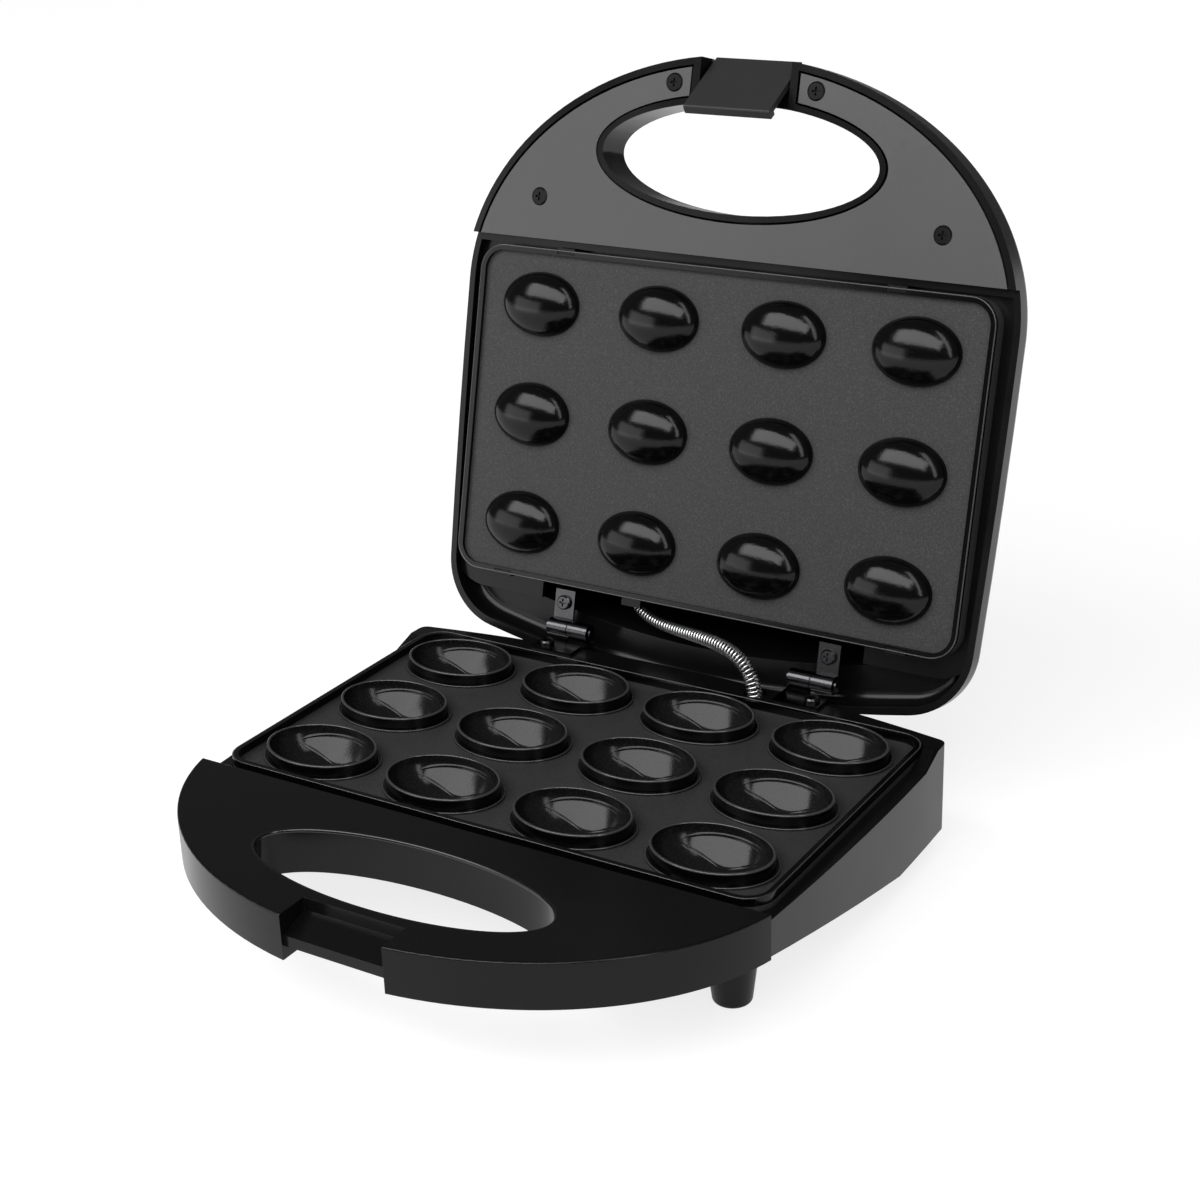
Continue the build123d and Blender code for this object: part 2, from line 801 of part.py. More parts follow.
def lead(points, bend_r, radius=lead_r):
    """A wire along straight runs joined by tangent arcs."""
    with BuildPart() as wire_form:
        with BuildLine() as route:
            FilletPolyline(*points, radius=bend_r)
        start = route.wires()[0] % 0
        with BuildSketch(Plane(route.wires()[0] @ 0, z_dir=start)):
            Circle(radius)
        sweep(path=route.wires()[0])
    return wire_form


# Leads inside the base: one to each end of the element, one up to the spring conduit
lead_end_x = heater_end_x + heater_terminal_length / 2 + 1
lead_rise_z = lower_heater_z - heater_terminal_r - heater_gap
block_side_x = block_width / 2
for side, name in ((1, "rear"), (-1, "front")):
    run_z = block_low_z + lead_floor_gap + (0 if side == 1 else block_height / 2)
    run_y = block_y - (0 if side == 1 else block_depth / 3)
    points = [(block_side_x, run_y, run_z), (lead_end_x, run_y, run_z)]
    if side == -1:
        points.append((lead_end_x, plate_center_y - heater_y, lead_front_z))
        points.append((lead_end_x, plate_center_y - heater_y, lead_rise_z))
    else:
        points.append((lead_end_x, run_y, lead_rise_z))
    finish(lead(points, lead_bend_r), f"heater_lead_{name}")
conduit_lead_route = [
    (conduit_lead_x, block_y + block_depth / 2, run_z),
    (conduit_lead_x, conduit_end_y, run_z),
    (conduit_end_x, conduit_end_y, run_z),
    (conduit_end_x, conduit_end_y, conduit_end_z),
]
finish(lead(conduit_lead_route, lead_bend_r), "supply_lead")

# Hinges: a base leaf with the pinned knuckle, a lid leaf with the running knuckle, and a pin
knuckle_bore_r = hinge_pin_r + running_clearance
lid_knuckle_x = knuckle_inner_x + knuckle_length + knuckle_gap
lid_leaf_z = hinge_z + lid_leaf_rise
lid_leaf_top_z = lid_leaf_z + leaf_thickness
leaf_front_y = plate_center_y + leaf_front_offset
leaf_screw_y = plate_center_y + leaf_screw_offset
leaf_outer_x = lid_knuckle_x + knuckle_length


def knuckle(low_x):
    """A hinge barrel lying along X, from low_x to low_x plus its length."""
    with BuildSketch(Plane.YZ.offset(low_x)) as ring:
        with Locations((hinge_y, hinge_z)):
            Circle(knuckle_r)
    return extrude(ring.sketch, amount=knuckle_length, mode=Mode.PRIVATE)


def pin_bore():
    """The bore through both barrels."""
    with BuildSketch(Plane.YZ) as ring:
        with Locations((hinge_y, hinge_z)):
            Circle(knuckle_bore_r)
    return extrude(ring.sketch, amount=big, mode=Mode.PRIVATE)


def plate_block(low_x, high_x, low_y, high_y, low_z, high_z, mode=Mode.ADD):
    """A flat block given by its limits."""
    with Locations((low_x, low_y, low_z)):
        Box(high_x - low_x, high_y - low_y, high_z - low_z,
            align=(Align.MIN, Align.MIN, Align.MIN), mode=mode)


with BuildPart() as base_leaf:
    plate_block(knuckle_inner_x, leaf_outer_x, leaf_front_y, hinge_y - knuckle_r - 2 * knuckle_gap,
                base_deck_z, base_deck_z + leaf_thickness)
    plate_block(knuckle_inner_x, knuckle_inner_x + knuckle_length, leaf_front_y, hinge_y,
                base_deck_z, base_deck_z + leaf_thickness)
    add(knuckle(knuckle_inner_x))
    add(pin_bore(), mode=Mode.SUBTRACT)
    round_column(leaf_screw_x, leaf_screw_y, hole_r, 0, big, Mode.SUBTRACT)

with BuildPart() as lid_leaf:
    plate_block(lid_knuckle_x, leaf_outer_x, leaf_front_y, hinge_y, lid_leaf_z, lid_leaf_top_z)
    add(knuckle(lid_knuckle_x))
    add(pin_bore(), mode=Mode.SUBTRACT)
    round_column(leaf_screw_x, leaf_screw_y, hole_r, 0, big, Mode.SUBTRACT)

with BuildPart() as hinge_pin:
    pin_low_x = knuckle_inner_x - knuckle_gap
    pin_length = leaf_outer_x - knuckle_inner_x + 2 * knuckle_gap
    with Locations(Location((pin_low_x, hinge_y, hinge_z), (0, 90, 0))):
        Cylinder(hinge_pin_r, pin_length, align=(Align.CENTER, Align.CENTER, Align.MIN))
        Cylinder(pin_head_r, pin_head_height, align=(Align.CENTER, Align.CENTER, Align.MAX))
    with Locations(Location((pin_low_x + pin_length, hinge_y, hinge_z), (0, 90, 0))):
        Cylinder(pin_head_r, pin_head_height, align=(Align.CENTER, Align.CENTER, Align.MIN))

for side, name in ((1, "right"), (-1, "left")):
    for form, kind, write in (
        (base_leaf, "hinge_base_leaf", finish),
        (hinge_pin, "hinge_pin", finish),
        (lid_leaf, "hinge_lid_leaf", finish_on_lid),
    ):
        with BuildPart() as handed:
            add(form.part if side == 1 else form.part.mirror(Plane.YZ))
        write(handed, f"{kind}_{name}")

base_leaf_screws = screws(base_leaf_seats, small_head_r, leaf_screw_length, facing_up=True)
finish(base_leaf_screws, "hinge_base_screws")
lid_leaf_screws = screws(
    both_sides(leaf_screw_x, leaf_screw_y, lid_leaf_z), small_head_r, leaf_screw_length
)
finish_on_lid(lid_leaf_screws, "hinge_lid_screws")


def lid_form(inset):
    """The lid's closed outer form, or its hollow when inset by the wall."""
    brim_top_z = lid_brim_z - inset
    with BuildPart() as form:
        with BuildSketch(Plane.XY.offset(lid_face_z)):
            add(lid_outline(inset))
        extrude(amount=brim_top_z - lid_face_z)
        fillet(form.edges().group_by(Axis.Z)[-1], lid_brim_round - inset)
        with BuildSketch(Plane.XY.offset(lid_brim_z - lid_brim_round)):
            add(lid_dome_outline(lid_dome_inset + inset))
        extrude(amount=lid_top_z - inset - lid_brim_z + lid_brim_round, taper=lid_dome_taper)
        fillet(form.edges().group_by(Axis.Z)[-1], lid_dome_round - inset)
    return form


# Lid housing: one shell with the finger collar, latch ears, ledges and screw bosses
panel_back_z = lid_face_z + panel_recess + wall
panel_screw_places = [
    (x, plate_center_y + y)
    for x, y in (
        (-panel_screw_front_x, panel_screw_front_offset),
        (panel_screw_front_x, panel_screw_front_offset),
        (-panel_screw_side_x, panel_screw_side_offset),
        (panel_screw_side_x, panel_screw_side_offset),
    )
]
slot_half = latch_slot_width / 2
bridge_z = lid_brim_z - bridge_drop
latch_pivot_y = plate_center_y + latch_pivot_offset
divider_back_y = handle_back_y + divider_gap + wall
lid_front_offset = handle_center_offset - handle_reach - wall
plate_edge_y = plate_center_y + plate_depth / 2
clip_rear_y = plate_edge_y + clip_gap
clip_front_y = 2 * plate_center_y - clip_rear_y - clip_sheet
lamp_y = plate_center_y + lamp_offset
panel_seat_z = lid_face_z + panel_recess + panel_head_sink
clip_places = [(x, clip_front_y, -1) for x in (-clip_front_x, clip_front_x)]
clip_places += [(x, clip_rear_y, 1) for x in (-clip_rear_x, clip_rear_x)]

lid_hollow_form = lid_form(wall)
with BuildPart() as lid_hollow:
    add(lid_hollow_form.part)
    plate_block(-big, big, handle_back_y + divider_gap, divider_back_y, lid_face_z, big, Mode.SUBTRACT)
    with BuildSketch(Plane.XY.offset(lid_face_z)):
        finger_hole(collar_wall)
        front_slot(latch_slot_width + 2 * ear_wall, finger_offset, Mode.ADD)
    extrude(amount=big, mode=Mode.SUBTRACT)
    with BuildSketch(Plane.XY.offset(upper_skirt_z)):
        plate_outline(-ledge_reach)
        plate_outline(ledge_width, Mode.SUBTRACT)
        with Locations((0, plate_edge_y)):
            Rectangle(2 * rear_ledge_gap_x, 4 * ledge_reach, mode=Mode.SUBTRACT)
    extrude(amount=ledge_thickness, mode=Mode.SUBTRACT)
    for x, y in panel_screw_places:
        round_column(x, y, boss_r, panel_back_z, lid_brim_z, Mode.SUBTRACT)
    for x, y, z in both_sides(leaf_screw_x, leaf_screw_y, lid_leaf_top_z):
        round_column(x, y, boss_r, z, lid_top_z, Mode.SUBTRACT)
    plate_block(conduit_start.X - rib_half_width, conduit_start.X + rib_half_width,
                conduit_start.Y + rib_proud - rib_depth, conduit_start.Y + rib_proud,
                conduit_start.Z - rib_drop, lid_top_z, Mode.SUBTRACT)
    for x, y, side in clip_places:
        plate_block(x - clip_width / 2 - clip_gap, x + clip_width / 2 + clip_gap,
                    y - clip_gap, y + clip_sheet + clip_gap, lid_face_z, lid_ledge_top_z + 1)

with BuildPart() as lid_housing:
    add(lid_form(0).part)
    add(lid_hollow.part, mode=Mode.SUBTRACT)
    with BuildSketch(Plane.XY.offset(lid_face_z)):
        finger_hole(0)
    extrude(amount=big, mode=Mode.SUBTRACT)
    add(side_profile([
        (handle_back_offset, 0),
        (handle_back_offset, lid_rim_z),
        (big, lid_rim_z),
        (big, 0),
    ]), mode=Mode.SUBTRACT)
    add(side_profile([
        (finger_offset, 0),
        (finger_offset, bridge_z),
        (bridge_front_offset, bridge_z),
        (bridge_front_offset, big),
        (lid_front_offset, big),
        (lid_front_offset, 0),
    ], slot_half), mode=Mode.SUBTRACT)
    with Locations(Location((0, latch_pivot_y, latch_pivot_z), (0, 90, 0))):
        Cylinder(latch_pin_r + running_clearance, latch_slot_width + 2 * pin_seat_depth,
                 mode=Mode.SUBTRACT)
    for x, y in panel_screw_places:
        round_column(x, y, hole_r, 0, panel_back_z + panel_screw_length, Mode.SUBTRACT)
    for x, y, z in both_sides(leaf_screw_x, leaf_screw_y, lid_leaf_top_z):
        round_column(x, y, hole_r, 0, z + leaf_screw_length, Mode.SUBTRACT)
    for x in (-lamp_x, lamp_x):
        round_column(x, lamp_y, lens_r + lens_gap, lid_top_z - 2 * wall, big, Mode.SUBTRACT)
    with BuildSketch(Plane(conduit_start, z_dir=conduit_start_way)):
        Circle(conduit_start_r + conduit_wire_r + rib_gap)
    extrude(amount=2 * rib_half_width, both=True, mode=Mode.SUBTRACT)
finish_on_lid(lid_housing, "lid_housing")

# Handle panel: the flat inner cover of the lid's handle, split by the latch slot
with BuildPart() as lid_handle_panel:
    with BuildSketch(Plane.XY.offset(lid_face_z + panel_recess)):
        add(handle_outline(wall + panel_groove, handle_back_y))
        finger_hole(collar_wall + panel_groove, Mode.SUBTRACT)
        front_slot(latch_slot_width + 2 * (ear_wall + panel_groove), finger_offset)
    extrude(amount=wall)
    for x, y in panel_screw_places:
        round_column(x, y, hole_r, 0, big, Mode.SUBTRACT)
        round_column(x, y, panel_head_r + screw_clearance, 0, panel_seat_z, Mode.SUBTRACT)
finish_on_lid(lid_handle_panel, "lid_handle_panel")
panel_screws = screws(
    [(x, y, panel_seat_z) for x, y in panel_screw_places], panel_head_r, panel_screw_length
)
finish_on_lid(panel_screws, "handle_panel_screws")

# Upper plate: the casting with the twelve domes, its lip facing the lower plate's
upper_heater_z = upper_back_z + heater_r + heater_gap
upper_clamp_z = upper_heater_z + heater_r + heater_gap
upper_reflector_z = upper_back_z + upper_reflector_gap
upper_lip_z = lower_lip_z + lip_gap
clip_low_z = upper_lip_z + clip_gap
clip_top_z = lid_ledge_top_z + clip_gap + clip_sheet
thermostat_y = plate_center_y + thermostat_offset
strap_seat_z = upper_back_z + strap_post_height
strap_seats = [(0, thermostat_y + side * strap_leg, strap_seat_z) for side in (-1, 1)]
dome_form = ellipsoid(dome_half_length, dome_half_width, dome_height)
dome_core_form = ellipsoid(
    dome_half_length - dome_wall, dome_half_width - dome_wall, dome_height - dome_wall
)
with BuildPart() as upper_plate:
    with Locations((0, plate_center_y, upper_flat_z)):
        with mould_places():
            add(dome_form)
    add(side_profile([
        (-big, 0), (big, 0), (big, upper_flat_z + wall / 2), (-big, upper_flat_z + wall / 2),
    ]), mode=Mode.INTERSECT)
    with BuildSketch(Plane.XY.offset(upper_flat_z)):
        plate_outline(0)
    extrude(amount=plate_thickness)
    with BuildSketch(Plane.XY.offset(upper_lip_z)):
        plate_outline(0)
        plate_outline(plate_lip_width, Mode.SUBTRACT)
    extrude(amount=upper_skirt_z - upper_lip_z)
    with Locations((0, plate_center_y, upper_flat_z)):
        with mould_places():
            add(dome_core_form, mode=Mode.SUBTRACT)
    for x, y in post_places:
        round_column(x, y, post_r, upper_back_z, upper_reflector_z)
        round_column(x, y, hole_r, upper_reflector_z - plate_screw_length, big, Mode.SUBTRACT)
    for x in (-clamp_x, clamp_x):
        round_column(x, plate_center_y, post_r, upper_back_z, upper_clamp_z)
        round_column(x, plate_center_y, hole_r, upper_back_z, big, Mode.SUBTRACT)
    for x, y, z in strap_seats:
        round_column(x, y, strap_post_r, upper_back_z, z)
        round_column(x, y, hole_r, upper_flat_z + wall / 2, z, Mode.SUBTRACT)
    for x, y, side in clip_places:
        notch_y = y if side == -1 else y - clip_hook_reach - clip_gap
        plate_block(x - clip_width / 2 - clip_gap, x + clip_width / 2 + clip_gap,
                    notch_y, notch_y + clip_sheet + clip_hook_reach + clip_gap,
                    upper_lip_z, clip_low_z + clip_sheet + clip_gap, Mode.SUBTRACT)
finish_on_lid(upper_plate, "upper_plate")
finish_on_lid(heater_element(upper_heater_z), "upper_heater")
finish_on_lid(heater_clamps(upper_clamp_z), "upper_heater_clamps")
finish_on_lid(reflector(upper_reflector_z, upper_reflector_front_offset), "upper_reflector")
upper_clamp_screws = screws(
    [(x, plate_center_y, upper_clamp_z + clamp_thickness) for x in (-clamp_x, clamp_x)],
    small_head_r, clamp_screw_length, facing_up=True,
)
finish_on_lid(upper_clamp_screws, "upper_clamp_screws")
upper_reflector_screws = screws(
    [(x, y, upper_reflector_z + reflector_thickness) for x, y in post_places],
    small_head_r, clamp_screw_length, facing_up=True,
)
finish_on_lid(upper_reflector_screws, "upper_reflector_screws")

# Sheet clips round the skirt and the ledge, hooked over the ledge and into the plate's lip
with BuildPart() as plate_clips:
    for x, y, side in clip_places:
        low_x = x - clip_width / 2
        high_x = x + clip_width / 2
        plate_block(low_x, high_x, y, y + clip_sheet, clip_low_z, clip_top_z)
        for reach, z in ((clip_reach, clip_top_z - clip_sheet), (clip_hook_reach, clip_low_z)):
            hook_y = y if side == -1 else y - reach
            plate_block(low_x, high_x, hook_y, hook_y + clip_sheet + reach, z, z + clip_sheet)
finish_on_lid(plate_clips, "upper_plate_clips")

# Thermostat on the back of the upper plate, held by a screwed strap
thermostat_top_z = upper_back_z + thermostat_height
with BuildPart() as thermostat:
    round_column(0, thermostat_y, thermostat_flange_r, upper_back_z, upper_back_z + thermostat_flange)
    round_column(0, thermostat_y, thermostat_r, upper_back_z, thermostat_top_z)
finish_on_lid(thermostat, "thermostat")

strap_reach = strap_leg + strap_foot
strap_knee = thermostat_flange_r - strap_sheet / 2
strap_low_z = thermostat_top_z + strap_gap
strap_side = [
    (strap_reach, strap_seat_z),
    (strap_reach, strap_seat_z + strap_sheet),
    (strap_knee + strap_sheet, strap_seat_z + strap_sheet),
    (strap_knee + strap_sheet, strap_low_z + strap_sheet),
    (0, strap_low_z + strap_sheet),
    (0, strap_low_z),
    (strap_knee, strap_low_z),
    (strap_knee, strap_seat_z),
]
with BuildPart() as thermostat_strap:
    for turn in (-1, 1):
        add(side_profile([(thermostat_offset + turn * y, z) for y, z in strap_side], strap_width / 2))
    for x, y, z in strap_seats:
        round_column(x, y, hole_r, z, z + strap_sheet, Mode.SUBTRACT)
finish_on_lid(thermostat_strap, "thermostat_strap")
strap_screws = screws(
    [(x, y, z + strap_sheet) for x, y, z in strap_seats], terminal_head_r, terminal_screw_length,
    facing_up=True,
)
finish_on_lid(strap_screws, "thermostat_screws")

# Thermal fuse lying across the middle of the plate's back
with BuildPart() as thermal_fuse:
    with Locations(Location((0, plate_center_y, upper_back_z + fuse_r), (0, 90, 0))):
        Cylinder(fuse_r, fuse_length)
finish_on_lid(thermal_fuse, "thermal_fuse")

# Two lamps under round lenses in the lid's top
lens_flange_z = lid_top_z - wall - lens_gap
lamp_top_z = lens_flange_z - lens_flange
for x, name in ((-lamp_x, "power"), (lamp_x, "ready")):
    with BuildPart() as lens:
        round_column(x, lamp_y, lens_r, lens_flange_z, lid_top_z + lens_proud)
        fillet(lens.edges().group_by(Axis.Z)[-1], lens_proud / 2)
        round_column(x, lamp_y, lens_flange_r, lamp_top_z, lens_flange_z)
    finish_on_lid(lens, f"{name}_lens")
    with BuildPart() as lamp:
        round_column(x, lamp_y, lamp_r, lamp_top_z - lamp_length, lamp_top_z)
    finish_on_lid(lamp, f"{name}_lamp")

# Latch: a flap with a barrel on top and an inward hook, on a pin between the slot's ears.
# It is drawn hooked under the nose and then hangs inward beside the opened lid.
flap_inner = nose_front_offset - latch_plate_gap
flap_outer = flap_inner - latch_plate_thickness
flap_top_z = latch_pivot_z + latch_top_rise
hook_inner = flap_inner + hook_catch
hook_top_z = nose_low_z - hook_gap
hook_low_z = hook_top_z - hook_height
latch_pivot = Location((0, latch_pivot_y, latch_pivot_z), (0, 90, 0))
latch_axis = Axis((0, latch_pivot_y, latch_pivot_z), (1, 0, 0))
with BuildPart() as latch_form:
    add(side_profile([
        (latch_pivot_offset, flap_top_z),
        (flap_outer, flap_top_z),
        (flap_outer, hook_low_z),
        (hook_inner, hook_low_z),
        (hook_inner, hook_top_z),
        (flap_inner, hook_top_z),
        (flap_inner, latch_pivot_z - latch_top_rise),
        (latch_pivot_offset, latch_pivot_z - latch_top_rise),
    ], latch_width / 2))
    fillet(latch_form.edges().filter_by(Axis.X).group_by(Axis.Z)[0], latch_plate_thickness / 3)
    with Locations(latch_pivot):
        Cylinder(latch_barrel_r, latch_width)
        Cylinder(latch_pin_r + running_clearance, big, mode=Mode.SUBTRACT)
with BuildPart() as latch:
    add(latch_form.part.rotate(latch_axis, latch_hang_deg))
finish_on_lid(latch, "latch")
with BuildPart() as latch_pin:
    with Locations(latch_pivot):
        Cylinder(latch_pin_r, latch_slot_width + 2 * (pin_seat_depth - pin_end_gap))
finish_on_lid(latch_pin, "latch_pin")

# Leads inside the lid: a connector block on the plate's back feeds both ends of the element
connector_y = plate_edge_y - connector_edge_gap - connector_depth
connector_high_x = connector_center_x + connector_width / 2
with BuildPart() as lid_connector:
    plate_block(connector_high_x - connector_width, connector_high_x,
                connector_y, connector_y + connector_depth,
                upper_back_z, upper_back_z + connector_height)
finish_on_lid(lid_connector, "lid_connector")
lid_lead_z = upper_clamp_z + clamp_thickness
lid_lead_end_z = upper_heater_z + heater_terminal_r + heater_gap
inner_lead_x = lead_end_x - lid_lead_step
inner_run_y = connector_y + connector_depth / 4
outer_run_y = connector_y + connector_depth * 3 / 4
front_terminal_y = plate_center_y - heater_y
rear_terminal_y = plate_center_y + heater_y
finish_on_lid(lead([
    (connector_high_x, inner_run_y, lid_lead_z),
    (inner_lead_x, inner_run_y, lid_lead_z),
    (inner_lead_x, front_terminal_y, lid_lead_z),
    (lead_end_x, front_terminal_y, lid_lead_z),
    (lead_end_x, front_terminal_y, lid_lead_end_z),
], lid_lead_bend_r), "lid_lead_front")
finish_on_lid(lead([
    (connector_high_x, outer_run_y, lid_lead_z),
    (lead_end_x, outer_run_y, lid_lead_z),
    (lead_end_x, rear_terminal_y, lid_lead_z),
    (lead_end_x, rear_terminal_y, lid_lead_end_z),
], lid_lead_bend_r), "lid_lead_rear")
conduit_turn_x = conduit_start.X - conduit_inner_run * conduit_start_way.X
conduit_turn_y = conduit_start.Y - conduit_inner_run * conduit_start_way.Y
finish_on_lid(lead([
    (conduit_turn_x, connector_y + connector_depth, conduit_start_z),
    (conduit_turn_x, conduit_turn_y, conduit_start_z),
    (conduit_start.X, conduit_start.Y, conduit_start_z),
], lid_lead_bend_r, conduit_core_r), "lid_supply_lead")

# Spring conduit: a spring round a lead, from the lid's rib down into the base's deck.
# Both follow one cubic curve, given in the opened position.
def swing_open(place):
    """Where a point or a direction of the closed lid's frame lies once turned by the opening."""
    turn = radians(-opening_deg)
    return Vector(
        place.X,
        place.Y * cos(turn) - place.Z * sin(turn),
        place.Y * sin(turn) + place.Z * cos(turn),
    )


hinge_point = Vector(0, hinge_y, hinge_z)
curve_start = hinge_point + swing_open(conduit_start - hinge_point)
curve_end = Vector(conduit_end_x, conduit_end_y, conduit_end_z)
first_pull = curve_start + swing_open(conduit_start_way) * conduit_start_pull
last_pull = curve_end + Vector(0, 0, conduit_end_pull)


def curve_point(t):
    """The cubic curve of the conduit's middle line, t from 0 to 1."""
    u = 1 - t
    return (
        curve_start * u ** 3 + first_pull * (3 * u * u * t) + last_pull * (3 * u * t * t)
        + curve_end * t ** 3
    )


def curve_way(t):
    """The direction of that curve at t."""
    u = 1 - t
    return (
        (first_pull - curve_start) * (u * u) + (last_pull - first_pull) * (2 * u * t)
        + (curve_end - last_pull) * (t * t)
    ).normalized()


curve_steps = 400
curve_places = [curve_point(step / curve_steps) for step in range(curve_steps + 1)]
curve_runs = [(b - a).length for a, b in zip(curve_places, curve_places[1:])]
curve_length = sum(curve_runs)
turn_count = int(curve_length / conduit_pitch)


def even_t(share):
    """The t at which a share of the curve's length is behind it."""
    left = share * curve_length
    for step, run in enumerate(curve_runs):
        if left <= run or step == curve_steps - 1:
            return (step + left / run) / curve_steps
        left -= run


def spring_point(share):
    """The middle of the spring's wire on a cone round the curve, at a share of its length."""
    t = even_t(share)
    way = curve_way(t)
    across = (Vector(0, 1, 0) - way * way.Y).normalized()
    turn = 2 * pi * turn_count * share
    radius = conduit_start_r + (conduit_end_r - conduit_start_r) * share
    return curve_point(t) + (across * cos(turn) + way.cross(across) * sin(turn)) * radius


def way_along(path, t):
    """The direction of a path given as a function of t."""
    step = 0.00001
    return (path(t + step) - path(t - step)).normalized()


def swept_tube(path, knots, radius):
    """A round wire swept along a path, with two tangent arcs between neighbouring knots."""
    with BuildPart() as tube:
        with BuildLine() as route:
            for low_t, high_t in zip(knots, knots[1:]):
                low_point, high_point = path(low_t), path(high_t)
                low_way, high_way = way_along(path, low_t), way_along(path, high_t)
                chord = high_point - low_point
                both = low_way + high_way
                spread = 2 * (1 - low_way.dot(high_way))
                back = chord.dot(both)
                reach = (sqrt(back * back + spread * chord.dot(chord)) - back) / spread
                joint = (low_point + low_way * reach + high_point - high_way * reach) / 2
                first_arc = TangentArc(low_point, joint, tangent=low_way)
                TangentArc(joint, high_point, tangent=first_arc % 1)
        with BuildSketch(Plane(route.line @ 0, z_dir=route.line % 0)):
            Circle(radius)
        sweep(path=route.wires()[0])
    return tube


spring_knots = [step / (2 * turn_count) for step in range(2 * turn_count + 1)]
finish(swept_tube(spring_point, spring_knots, conduit_wire_r), "spring_conduit")
core_knots = [step / core_spans for step in range(core_spans + 1)]
finish(swept_tube(curve_point, core_knots, conduit_core_r), "conduit_lead")

# The spring's least gap to itself, measured between points at least half a turn apart
points_a_turn = 24
wire_points = [
    spring_point(step / (turn_count * points_a_turn)) for step in range(turn_count * points_a_turn + 1)
]
least = min(
    (wire_points[low] - wire_points[high]).length
    for low in range(len(wire_points))
    for high in range(low + points_a_turn // 2, min(low + 3 * points_a_turn, len(wire_points)))
)
print(f"spring conduit: {turn_count} turns, least gap to itself {least - 2 * conduit_wire_r:.2f} mm")
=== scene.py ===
import json
from math import cos, pi, radians, sin

import bmesh
import bpy
import numpy as np
from mathutils import Matrix, Vector


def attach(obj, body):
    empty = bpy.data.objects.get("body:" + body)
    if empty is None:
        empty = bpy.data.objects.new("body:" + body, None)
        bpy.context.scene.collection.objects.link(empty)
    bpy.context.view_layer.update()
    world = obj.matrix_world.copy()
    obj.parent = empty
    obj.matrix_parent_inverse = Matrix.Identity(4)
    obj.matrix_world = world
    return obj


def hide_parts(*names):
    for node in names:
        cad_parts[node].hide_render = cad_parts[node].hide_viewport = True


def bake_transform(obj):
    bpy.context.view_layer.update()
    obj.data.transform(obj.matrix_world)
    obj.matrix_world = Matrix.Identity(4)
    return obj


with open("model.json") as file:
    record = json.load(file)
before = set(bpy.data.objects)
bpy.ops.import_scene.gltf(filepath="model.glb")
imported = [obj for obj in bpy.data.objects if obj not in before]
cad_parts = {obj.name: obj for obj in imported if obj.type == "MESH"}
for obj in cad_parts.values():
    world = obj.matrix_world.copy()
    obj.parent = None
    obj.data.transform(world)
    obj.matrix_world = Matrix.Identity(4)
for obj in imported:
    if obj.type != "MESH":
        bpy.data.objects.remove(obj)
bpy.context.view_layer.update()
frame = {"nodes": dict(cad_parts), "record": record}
nodes = frame["nodes"]
body_of = {node: body for body, names in frame["record"]["behaviour"]["bodies"].items() for node in names}

# Places shared with the solids, in metres
mm = 0.001
plates_middle_y = -4.7 * mm
lower_flat_z = 42.0 * mm
upper_flat_z = 47.4 * mm
raised_step = 0.3 * mm
hinge_y = plates_middle_y + 82.0 * mm
hinge_z = 48.5 * mm
opening = radians(104.0)


def in_lid(point):
    """A point of the closed lid, turned open about the hinge with the lid."""
    x, y, z = point
    dy, dz = y - hinge_y, z - hinge_z
    return (
        x,
        hinge_y + dy * cos(opening) + dz * sin(opening),
        hinge_z - dy * sin(opening) + dz * cos(opening),
    )


def way_in_lid(way):
    """A direction of the closed lid, turned open with the lid."""
    x, y, z = way
    return (x, y * cos(opening) + z * sin(opening), z * cos(opening) - y * sin(opening))


# Camera, from the photograph: a long lens from the front right, a little above
camera_azimuth = radians(32.16)
camera_elevation = radians(22.57)
camera_roll = radians(-2.03)
camera_distance = 0.8761
camera_target = Vector((-0.0602, 0.1115, 0.047))
camera_lens_mm = 64.33


def add_camera():
    """Places the camera on its direction from the target, then turns it about its own view line."""
    back = Vector((
        sin(camera_azimuth) * cos(camera_elevation),
        -cos(camera_azimuth) * cos(camera_elevation),
        sin(camera_elevation),
    ))
    right = Vector((0, 0, 1)).cross(back).normalized()
    up = back.cross(right)
    rolled_right = right * cos(camera_roll) + up * sin(camera_roll)
    rolled_up = up * cos(camera_roll) - right * sin(camera_roll)
    data = bpy.data.cameras.new("camera")
    data.lens = camera_lens_mm
    data.sensor_width = 36.0
    data.clip_start = 0.01
    camera = bpy.data.objects.new("camera", data)
    bpy.context.scene.collection.objects.link(camera)
    place = camera_target + back * camera_distance
    turn = Matrix((rolled_right, rolled_up, back)).transposed().to_4x4()
    camera.matrix_world = Matrix.Translation(place) @ turn
    bpy.context.scene.camera = camera


# Studio
floor_reach = 6.0
room_light = 0.13
floor_glow = 0.8
floor_far_glow = 0.93
floor_shade = 0.28
floor_near = 0.3
floor_far = 1.1
studio_middle = Vector((0, 0.03, 0.1))
# Name, azimuth to the right of the front and elevation in degrees, distance, width, height, radiance
softboxes = (
    ("high front", -12.0, 47.0, 1.6, 2.2, 0.95, 5.6),
    ("low left", -46.0, 8.0, 0.95, 0.7, 0.4, 2.0),
    ("tall right", 54.0, 42.0, 1.5, 0.3, 2.0, 4.0),
)


